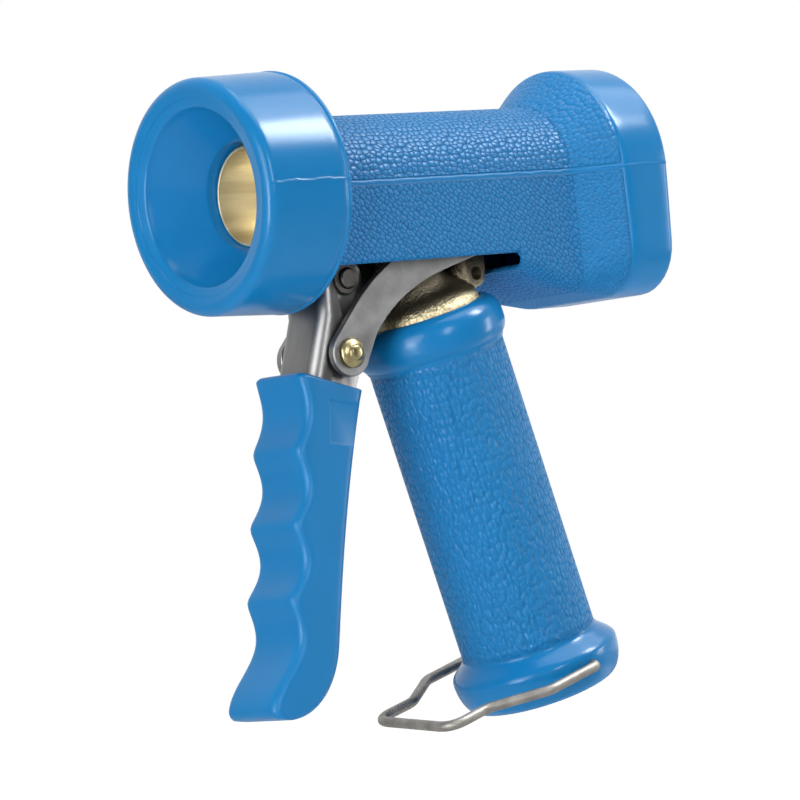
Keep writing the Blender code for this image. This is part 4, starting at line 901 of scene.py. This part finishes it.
collar_low = GRIP_TOP - 0.0060
grip_profile = bow((DOME_RADIUS + GAP, collar_low), (0.0223 - DOME_RADIUS - GAP, 0.0060), 90.0, 0.0, 14)
grip_profile += bow((0.0190, 0.1088), (0.0033, 0.0046), 0.0, -58.0, 12)
grip_profile += s_curve(grip_profile[-1], (HANDLE_RADIUS, 0.1030), 5)
grip_profile += [(HANDLE_RADIUS, blend(0.1030, 0.0162, step / 12)) for step in range(1, 13)]
grip_profile += s_curve((HANDLE_RADIUS, 0.0162), (FOOT_RADIUS, 0.0098), 12)
grip_profile += bow((FOOT_RADIUS - 0.0046, 0.0098), (0.0046, 0.0097), 0.0, -90.0, 14)[1:]
grip_profile += [(0.0168, 0.0001), (0.0168, 0.0163), (0.0128, 0.0163), (0.0128, 0.1041), (DOME_RADIUS + GAP, 0.1041)]
grip = lathe("handle_grip_moulded", grip_profile, ON_HANDLE, 128)
for low, high in ((-0.03, -0.0197), (0.0197, 0.03)):
    hole = [(0.0, low), (0.0016, low), (0.0016, high), (0.0, high)]
    place = Matrix.Translation(BAIL_AT) @ BAIL_TILT @ Matrix.Rotation(-math.pi / 2, 4, "X")
    cut_away(grip, lathe("bail_hole", hole, place, 24))
select_only(grip)
bpy.ops.object.shade_smooth_by_angle(angle=math.radians(35.0))


def grained_rubber():
    """The grip's skin: a leather grain of upright cells in the middle, smooth at the collar and foot."""
    material, tree, shader, place, tone = rubber("grained_rubber", 0.22)
    upright_place = add_node(tree, "Mapping")
    upright_place.inputs["Rotation"].default_value = (0.0, LEAN, 0.0)
    tree.links.new(place.outputs["Object"], upright_place.inputs["Vector"])
    split = add_node(tree, "SeparateXYZ")
    tree.links.new(upright_place.outputs["Vector"], split.inputs[0])
    angle = add_node(tree, "Math", operation="ARCTAN2")
    tree.links.new(split.outputs["X"], angle.inputs[0])
    tree.links.new(times(tree, split.outputs["Y"], -1.0), angle.inputs[1])
    unrolled = add_node(tree, "CombineXYZ")
    tree.links.new(times(tree, angle.outputs[0], HANDLE_RADIUS), unrolled.inputs["X"])
    tree.links.new(times(tree, split.outputs["Z"], 0.58), unrolled.inputs["Y"])
    cells = tree.nodes.new("ShaderNodeGroup")
    cells.node_tree = PEBBLES
    cells.inputs["Scale"].default_value = 700.0
    cells.inputs["Wobble"].default_value = 0.0016
    cells.inputs["Softness"].default_value = 0.45
    tree.links.new(unrolled.outputs["Vector"], cells.inputs["Vector"])
    creases = add_node(tree, "TexNoise")
    creases.inputs["Scale"].default_value = 900.0
    creases.inputs["Detail"].default_value = 2.0
    tree.links.new(unrolled.outputs["Vector"], creases.inputs["Vector"])
    leather = add_node(tree, "Math", operation="MULTIPLY_ADD")
    leather.inputs[1].default_value = 0.34
    tree.links.new(creases.outputs["Fac"], leather.inputs[0])
    tree.links.new(cells.outputs["Height"], leather.inputs[2])
    low = above(tree, upright_place.outputs["Vector"], "Z", 0.0150, 0.0180)
    high = above(tree, upright_place.outputs["Vector"], "Z", 0.1046, 0.1018)
    field = times(tree, low, high)
    # The grain's grooves get a faint painted shade.
    textured(tree, shader, tone, leather.outputs[0], cells.outputs["Groove"], field, field, 0.10, 0.00085, 0.31)
    return material


paint_over(grip, grained_rubber())
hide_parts("handle_grip")
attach(grip, "gun")


# Hose inlet
# A turned brass socket in the foot with a hose thread cut inside, a brass pipe above it and a black
# rubber washer at the bottom of the thread.
INLET_BORE = 0.0103
thread = []
for turn in range(5):
    start = 0.0010 + turn * 0.0020
    thread += [(INLET_BORE + 0.0007, start), (INLET_BORE + 0.0007, start + 0.0004), (INLET_BORE, start + 0.0010),
               (INLET_BORE, start + 0.0014)]
thread = [(radius, height) for radius, height in thread if height < 0.0080]
inlet = lathe("inlet_socket_turned", [(0.0165, 0.0160), (0.0165, 0.0005), (0.0160, 0.0), (INLET_BORE + 0.0011, 0.0)]
              + thread + [(INLET_BORE, 0.0110), (0.0090, 0.0110), (0.0090, 0.0120), (0.0128, 0.0120), (0.0128, 0.0160)],
              ON_HANDLE, 96)
paint_over(inlet, TURNED_BRASS)
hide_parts("inlet_socket")
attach(inlet, "gun")

washer = lathe("hose_washer_moulded", [(0.0100, 0.0087), (0.0098, 0.0085), (0.0072, 0.0085), (0.0070, 0.0087), (0.0070, 0.0105),
                                       (0.0072, 0.0107), (0.0098, 0.0107), (0.0100, 0.0105)], ON_HANDLE, 64)


def black_rubber():
    """Matt black rubber with a faint bloom."""
    material = bpy.data.materials.new("black_rubber")
    material.use_nodes = True
    tree = material.node_tree
    shader = tree.nodes["Principled BSDF"]
    place = add_node(tree, "TexCoord")
    bloom = add_node(tree, "TexNoise")
    bloom.inputs["Scale"].default_value = 300.0
    tree.links.new(place.outputs["Object"], bloom.inputs["Vector"])
    tone = add_node(tree, "Mix", data_type="RGBA")
    tone.inputs["A"].default_value = (0.010, 0.010, 0.011, 1.0)
    tone.inputs["B"].default_value = (0.028, 0.028, 0.029, 1.0)
    tree.links.new(bloom.outputs["Fac"], tone.inputs["Factor"])
    tree.links.new(tone.outputs["Result"], shader.inputs["Base Color"])
    shader.inputs["Roughness"].default_value = 0.6
    return material


BLACK_RUBBER = black_rubber()
paint_over(washer, BLACK_RUBBER)
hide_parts("hose_washer")
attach(washer, "gun")


# Trigger channel
# Steel sheet folded to a channel, polished in front, with two ears on the pin of the casting.
# The finger grip is moulded over its lower end.
TRIGGER_LEAN = math.radians(11.1)
CHANNEL_HALF = 0.0093
CHANNEL_WALL = 0.0018


def trigger_point(along, behind):
    """A point of the trigger's side view from the pin: down the lean from the first finger crest, then back."""
    return (-0.0246 - along * math.sin(TRIGGER_LEAN) + behind * math.cos(TRIGGER_LEAN),
            -0.0462 - along * math.cos(TRIGGER_LEAN) - behind * math.sin(TRIGGER_LEAN))


front_wall = [(-0.0085, -0.0012), (-0.0089, -0.0096)]
front_wall += [trigger_point(*p) for p in ((-0.0190, 0.0054), (-0.0110, 0.0072), (0.0300, 0.0106), (0.0340, 0.0106))]
rear_edge = [trigger_point(*p) for p in ((0.0340, 0.0160), (-0.0110, 0.0198), (-0.0190, 0.0208), (-0.0269, 0.0226))]
ear = bow((0.0, 0.0), (0.0062, 0.0062), 0.0, 150.0, 20)
channel = draw_line("trigger_channel", [(x, -CHANNEL_HALF, z) for x, z in front_wall + rear_edge + ear])
bpy.ops.mesh.select_all(action="SELECT")
bpy.ops.mesh.edge_face_add()
bpy.ops.mesh.extrude_region_move(TRANSFORM_OT_translate={"value": (0.0, 2.0 * CHANNEL_HALF, 0.0)})
bpy.ops.mesh.select_all(action="SELECT")
bpy.ops.mesh.normals_make_consistent(inside=False)
shape = bmesh.from_edit_mesh(channel.data)


def on_front(x, z):
    return any(abs(x - px) + abs(z - pz) < 1e-6 for px, pz in front_wall)


for face in shape.faces:
    spans = abs(face.normal.y) < 0.5
    face.select = spans and not all(on_front(v.co.x, v.co.z) for v in face.verts)
bmesh.update_edit_mesh(channel.data)
bpy.ops.mesh.delete(type="FACE")
bpy.ops.mesh.select_all(action="DESELECT")
bpy.ops.mesh.select_mode(type="EDGE")
shape = bmesh.from_edit_mesh(channel.data)
for edge in shape.edges:
    ends = [v.co for v in edge.verts]
    edge.select = all(on_front(c.x, c.z) for c in ends) and abs(ends[0].y - ends[1].y) < 1e-6
bmesh.update_edit_mesh(channel.data)
bpy.ops.mesh.bevel(offset=0.0042, segments=10, affect="EDGES")
bpy.ops.mesh.select_mode(type="VERT")
set_down(channel, Matrix.Translation(FULCRUM_AT))
apply_modifier(channel, "SOLIDIFY", thickness=CHANNEL_WALL, offset=-1.0, use_even_offset=True)
RIVET_AT = Vector((-0.068246, 0.0, 0.1024))
for point, radius in ((FULCRUM_AT, 0.0031), (RIVET_AT, 0.0029)):
    cut_away(channel, lathe("pin_hole", [(0.0, -0.02), (radius, -0.02), (radius, 0.02), (0.0, 0.02)], cross_pin(point), 32))
apply_modifier(channel, "BEVEL", width=0.0003, segments=2, limit_method="ANGLE", angle_limit=math.radians(50.0))
select_only(channel)
bpy.ops.object.shade_smooth_by_angle(angle=math.radians(35.0))
BRIGHT_STEEL = metal("bright_steel", (0.19, 0.19, 0.19), (0.27, 0.27, 0.27), (0.33, 0.42), 0.12, 1600.0, 120.0, (1.0, 1.0, 0.06))
paint_over(channel, BRIGHT_STEEL)
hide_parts("trigger_lever")
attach(channel, "trigger")


# Finger grip
# Blue plastic moulded over the channel: scalloped for the fingers in front, plain flat sides with a
# shallow bare panel, and a toe turned forward at the bottom.
FINGER_PITCH = 0.0208
GROOVE_DEPTHS = (0.0028, 0.0037, 0.0040, 0.0035)
CREST_ROUND = 0.22
GRIP_HALF = 0.0113
TOE_START = 0.0520
TOE_LENGTH = 0.0225
GRIP_HEAD = -0.0219


def finger_ring(along, front, back, slant=0.0, inset=0.0):
    """A section of the finger grip with rounded corners, drawn in by inset, its back lower by slant."""
    front += inset
    back -= inset
    half = GRIP_HALF - inset
    depth = back - front
    nose = min(0.0026, depth * 0.4)
    heel = min(0.0030, depth * 0.4)
    outline = bow((back - heel, half - heel), (heel, heel), 90.0, 0.0, 6)
    outline += bow((back - heel, -half + heel), (heel, heel), 0.0, -90.0, 6)
    outline += [(blend(back - heel, front + nose, step / 10), -half) for step in range(1, 10)]
    outline += bow((front + nose, -half + nose), (nose, nose), -90.0, -180.0, 6)
    outline += [(front, blend(-half + nose, half - nose, step / 6)) for step in range(1, 6)]
    outline += bow((front + nose, half - nose), (nose, nose), 180.0, 90.0, 6)
    outline += [(blend(front + nose, back - heel, step / 10), half) for step in range(1, 10)]
    ring = []
    for behind, side in outline:
        x, z = trigger_point(along + slant * (behind - front) / depth, behind)
        ring.append((x, side, z))
    return ring


def grip_back(along):
    """The straight-looking rear edge is drawn in a little at half height."""
    share = (along - GRIP_HEAD) / (TOE_START - GRIP_HEAD)
    return blend(0.0229, 0.0182, share) - 0.0012 * math.sin(math.pi * max(0.0, share))


finger_rings = []
HEAD_ROUND = 0.0016
for step in range(0, 7):
    angle = math.pi / 2.0 * step / 6
    along = GRIP_HEAD + HEAD_ROUND * (1.0 - math.sin(angle))
    finger_rings.append(finger_ring(GRIP_HEAD + HEAD_ROUND * (1.0 - math.cos(angle)), 0.0,
                                    grip_back(along), 0.0032 * (1.0 - 0.6 * step / 6), HEAD_ROUND * (1.0 - math.sin(angle))))
for step in range(-13, 41):
    along = FINGER_PITCH * step / 16
    wave = (math.hypot(math.sin(math.pi * step / 16), CREST_ROUND) - CREST_ROUND) / (math.hypot(1.0, CREST_ROUND) - CREST_ROUND)
    depth = GROOVE_DEPTHS[(step + 16) // 16]
    fade = max(0.0, 1.0 - (step + 14) / 10) * 0.0012
    finger_rings.append(finger_ring(along, depth * wave, grip_back(along), fade))
for step in range(1, 29):
    down = TOE_LENGTH * math.sin(math.pi / 2.0 * step / 28.5)
    share = min(1.0, down / 0.0205)
    front = blend(GROOVE_DEPTHS[-1], -0.0050, share * share * (3.0 - 2.0 * share))
    front += 0.0026 * (1.0 - math.sqrt(1.0 - max(0.0, (down - TOE_LENGTH + 0.0026) / 0.0026) ** 2))
    back = 0.0003 + 0.0179 * math.sqrt(1.0 - (down / 0.0226) ** 2.15)
    finger_rings.append(finger_ring(TOE_START + down, front, back))
finger_grip = pull_rings("finger_grip", finger_rings)
bpy.ops.mesh.edge_face_add()
bpy.ops.mesh.select_all(action="DESELECT")
shape = bmesh.from_edit_mesh(finger_grip.data)
shape.verts.ensure_lookup_table()
for vertex in list(shape.verts)[:len(finger_rings[0])]:
    vertex.select = True
shape.select_flush(True)
bmesh.update_edit_mesh(finger_grip.data)
bpy.ops.mesh.edge_face_add()
set_down(finger_grip, Matrix.Translation(FULCRUM_AT), 40.0)
PANEL = ((-0.0155, 0.0095), (-0.0155, 0.0205), (-0.0025, 0.0200), (-0.0025, 0.0105))
for side in (-1.0, 1.0):
    place = Matrix.Translation(FULCRUM_AT + Vector((0.0, side * (GRIP_HALF + 0.0007), 0.0)))
    recess = slab("panel_recess", [trigger_point(*corner) for corner in PANEL], 0.0010, place)
    apply_modifier(recess, "BEVEL", width=0.0009, segments=4, limit_method="ANGLE", angle_limit=math.radians(50.0))
    cut_away(finger_grip, recess)
select_only(finger_grip)
bpy.ops.object.shade_smooth_by_angle(angle=math.radians(40.0))


def moulded_plastic():
    """Satin blue plastic."""
    material, tree, shader, place, tone = rubber("moulded_plastic", 0.36)
    fine = add_node(tree, "TexNoise")
    fine.inputs["Scale"].default_value = 2200.0
    tree.links.new(place.outputs["Object"], fine.inputs["Vector"])
    relief = add_node(tree, "Bump")
    relief.inputs["Strength"].default_value = 0.06
    relief.inputs["Distance"].default_value = 0.0001
    tree.links.new(fine.outputs["Fac"], relief.inputs["Height"])
    tree.links.new(relief.outputs["Normal"], shader.inputs["Normal"])
    return material


paint_over(finger_grip, moulded_plastic())
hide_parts("trigger_grip")
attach(finger_grip, "trigger")


# Trigger pin
# A plain steel pin through the casting's front lug, held by a pressed ring at each end.
def ring_profile(inner, outer, low, high, edge):
    return [(inner, low), (outer - edge, low), (outer, low + edge), (outer, high - edge), (outer - edge, high), (inner, high)]


pin = lathe("fulcrum_pin_turned", [(0.0, -0.0116), (0.0024, -0.0116), (0.0028, -0.0112), (0.0028, 0.0112), (0.0024, 0.0116),
                                   (0.0, 0.0116)], cross_pin(FULCRUM_AT), 32, closed=False)
DULL_STEEL = metal("dull_steel", (0.085, 0.080, 0.075), (0.15, 0.14, 0.13), (0.34, 0.46), 0.2, 1400.0)
paint_over(pin, DULL_STEEL)
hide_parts("fulcrum_pin")
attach(pin, "gun")
for low, high, node in ((0.0096, 0.0106, "fulcrum_clip_right"), (-0.0106, -0.0096, "fulcrum_clip_left")):
    clip = lathe(node + "_pressed", ring_profile(0.0031, 0.0044, low, high, 0.0002), cross_pin(FULCRUM_AT), 40)
    paint_over(clip, DULL_STEEL)
    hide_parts(node)
    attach(clip, "gun")


# Link arms
# Two bowed arms blanked from satin steel plate, from the rivet on the channel up to the crosshead
# behind the casting. Their edges are tumbled smooth.
ARM_HALF = 0.0053
ARM_EYE = 0.0065
far_eye_at = Vector((0.008954, 0.149)) - Vector((RIVET_AT.x, RIVET_AT.z))
pulls = [Vector((0.0, 0.0)),
         Vector((math.cos(math.radians(58.0)), math.sin(math.radians(58.0)))) * 0.0460,
         far_eye_at - Vector((math.cos(math.radians(56.0)), math.sin(math.radians(56.0)))) * 0.0360,
         far_eye_at]
upper_edge = []
lower_edge = []
for step in range(41):
    t = 0.08 + 0.84 * step / 40
    point = (pulls[0] * (1 - t) ** 3 + pulls[1] * 3 * t * (1 - t) ** 2 + pulls[2] * 3 * t * t * (1 - t) + pulls[3] * t ** 3)
    slope = ((pulls[1] - pulls[0]) * (1 - t) ** 2 + (pulls[2] - pulls[1]) * 2 * t * (1 - t) + (pulls[3] - pulls[2]) * t * t).normalized()
    upper_edge.append(tuple(point + Vector((-slope.y, slope.x)) * ARM_HALF))
    slimmer = ARM_HALF - 0.0012 * min(1.0, max(0.0, (t - 0.30) / 0.30))
    lower_edge.append(tuple(point - Vector((-slope.y, slope.x)) * slimmer))
arm_side = bow((0.0, 0.0), (ARM_EYE, ARM_EYE), -17.0, -227.0, 32) + upper_edge
arm_side += bow(tuple(far_eye_at), (ARM_EYE, ARM_EYE), 161.0, -49.0, 32) + lower_edge[::-1]
SATIN_STEEL = metal("satin_steel", (0.235, 0.235, 0.235), (0.315, 0.315, 0.31), (0.36, 0.44), 0.15, 1500.0, 140.0)
for middle, node in ((-0.0118, "link_arm_left"), (0.0118, "link_arm_right")):
    arm_place = RIVET_AT + Vector((0.0, middle, 0.0))
    arm = slab(node + "_blanked", arm_side, 0.0012, Matrix.Translation(arm_place))
    for hole_at, radius in ((RIVET_AT, 0.0029), (Vector((0.008954, 0.0, 0.149)), 0.0035)):
        cut_away(arm, lathe("eye", [(0.0, -0.02), (radius, -0.02), (radius, 0.02), (0.0, 0.02)], cross_pin(hole_at), 32))
    apply_modifier(arm, "BEVEL", width=0.00035, segments=3, limit_method="ANGLE", angle_limit=math.radians(50.0))
    select_only(arm)
    bpy.ops.object.shade_smooth_by_angle(angle=math.radians(35.0))
    paint_over(arm, SATIN_STEEL)
    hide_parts(node)
    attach(arm, "link")

RIVET_SHANK = 0.0133
RIVET_TOP = RIVET_SHANK + 0.0024
head = [(0.0015, RIVET_TOP), (0.0019, RIVET_TOP - 0.0002), (0.0022, RIVET_TOP - 0.0006), (0.0025, RIVET_TOP - 0.0009),
        (0.0033, RIVET_TOP - 0.0012), (0.0039, RIVET_TOP - 0.0016), (0.0042, RIVET_TOP - 0.0020), (0.0042, RIVET_SHANK),
        (0.0026, RIVET_SHANK)]
rivet_profile = [(0.0, RIVET_TOP)] + head + [(r, -h) for r, h in reversed(head)] + [(0.0, -RIVET_TOP)]
rivet = lathe("link_rivet_headed", rivet_profile, cross_pin(RIVET_AT), 48, closed=False)
paint_over(rivet, metal("rivet_brass", (0.28, 0.235, 0.12), (0.42, 0.36, 0.20), (0.26, 0.38), 0.3, 1100.0, 260.0))
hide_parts("link_rivet")
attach(rivet, "link")


# Spindle and valve
# The steel spindle with its brass poppet, seal, packing and gland nut inside the casting, and the
# crosshead that the arms push. They keep the shapes of the model and get their metals here. The wound
# spring behind the poppet is drawn as one fixed coil, though the real one is pressed short as the trigger is pulled.
SPRING_TURNS = 7
SPRING_STEPS = 24
SPRING_RADIUS = 0.0064
SPRING_WIRE = 0.0008


def bent_wire(name, points, radius):
    """Round wire along a line of points, its ends closed. Left in edit mode."""
    wire = bpy.data.curves.new(name, "CURVE")
    wire.dimensions = "3D"
    wire.bevel_depth = radius
    wire.bevel_resolution = 6
    wire.use_fill_caps = True
    line = wire.splines.new("POLY")
    line.points.add(len(points) - 1)
    for slot, point in zip(line.points, points):
        slot.co = (*point, 1.0)
    piece = bpy.data.objects.new(name, wire)
    bpy.context.scene.collection.objects.link(piece)
    select_only(piece)
    bpy.ops.object.convert(target="MESH")
    piece = bpy.context.object
    bpy.ops.object.mode_set(mode="EDIT")
    return piece


spring_front, spring_rear = (corner[0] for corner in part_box("return_spring"))
coil = []
for step in range(SPRING_TURNS * SPRING_STEPS + 1):
    angle = 2.0 * math.pi * step / SPRING_STEPS
    along = blend(spring_front + SPRING_WIRE, spring_rear - SPRING_WIRE, step / (SPRING_TURNS * SPRING_STEPS))
    coil.append((along, SPRING_RADIUS * math.cos(angle), BARREL_AT.z + SPRING_RADIUS * math.sin(angle)))
spring = set_down(bent_wire("return_spring_wound", coil, SPRING_WIRE), smooth_deg=40.0)
paint_over(spring, BRIGHT_STEEL)
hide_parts("return_spring")
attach(spring, "gun")
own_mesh(spring)
paint_over(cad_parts["spindle"], BRIGHT_STEEL)
for node in ("poppet", "gland_nut", "crosshead", "handle_pipe"):
    paint_over(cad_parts[node], TURNED_BRASS)
for node in ("poppet_seal", "stem_packing"):
    paint_over(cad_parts[node], BLACK_RUBBER)
for node in ("spindle_nut_front", "spindle_nut_rear", "crosshead_clip_left", "crosshead_clip_right"):
    paint_over(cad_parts[node], DULL_STEEL)


# Latch bail
# A bent steel wire whose hooked ends turn in the foot. It swings up over the toe to hold the trigger.
WIRE_RADIUS = 0.0015
far_leg = [(0.0, 0.0200), (0.0, 0.0276), (-0.0190, 0.0276), (-0.0343, 0.0170), (-0.0487, 0.0174)]
near_leg = [(0.0, -0.0200), (0.0, -0.0266), (-0.0190, -0.0266), (-0.0343, -0.0158), (-0.0487, -0.0160)]
corners = [Vector((x, y, 0.0)) for x, y in far_leg + near_leg[::-1]]
bends = [0.0018] + [0.0058] * (len(corners) - 4) + [0.0018]
wire_points = [corners[0]]
for before, corner, after, radius in zip(corners, corners[1:], corners[2:], bends):
    back = (before - corner).normalized()
    ahead = (after - corner).normalized()
    reach = radius / math.tan(back.angle(ahead) / 2.0)
    for step in range(13):
        t = step / 12
        wire_points.append((corner + back * reach) * (1 - t) ** 2 + corner * 2 * t * (1 - t) + (corner + ahead * reach) * t * t)
wire_points.append(corners[-1])
bail = bent_wire("latch_bail_bent", wire_points, WIRE_RADIUS)
set_down(bail, Matrix.Translation(BAIL_AT) @ BAIL_TILT @ Matrix.Rotation(-math.radians(15.0), 4, "Y"), 40.0)
WIRE_STEEL = metal("wire_steel", (0.23, 0.22, 0.205), (0.33, 0.315, 0.29), (0.46, 0.58), 0.10, 1200.0, 180.0)
paint_over(bail, WIRE_STEEL)
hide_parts("latch_bail")
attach(bail, "bail")


# Size
low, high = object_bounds()
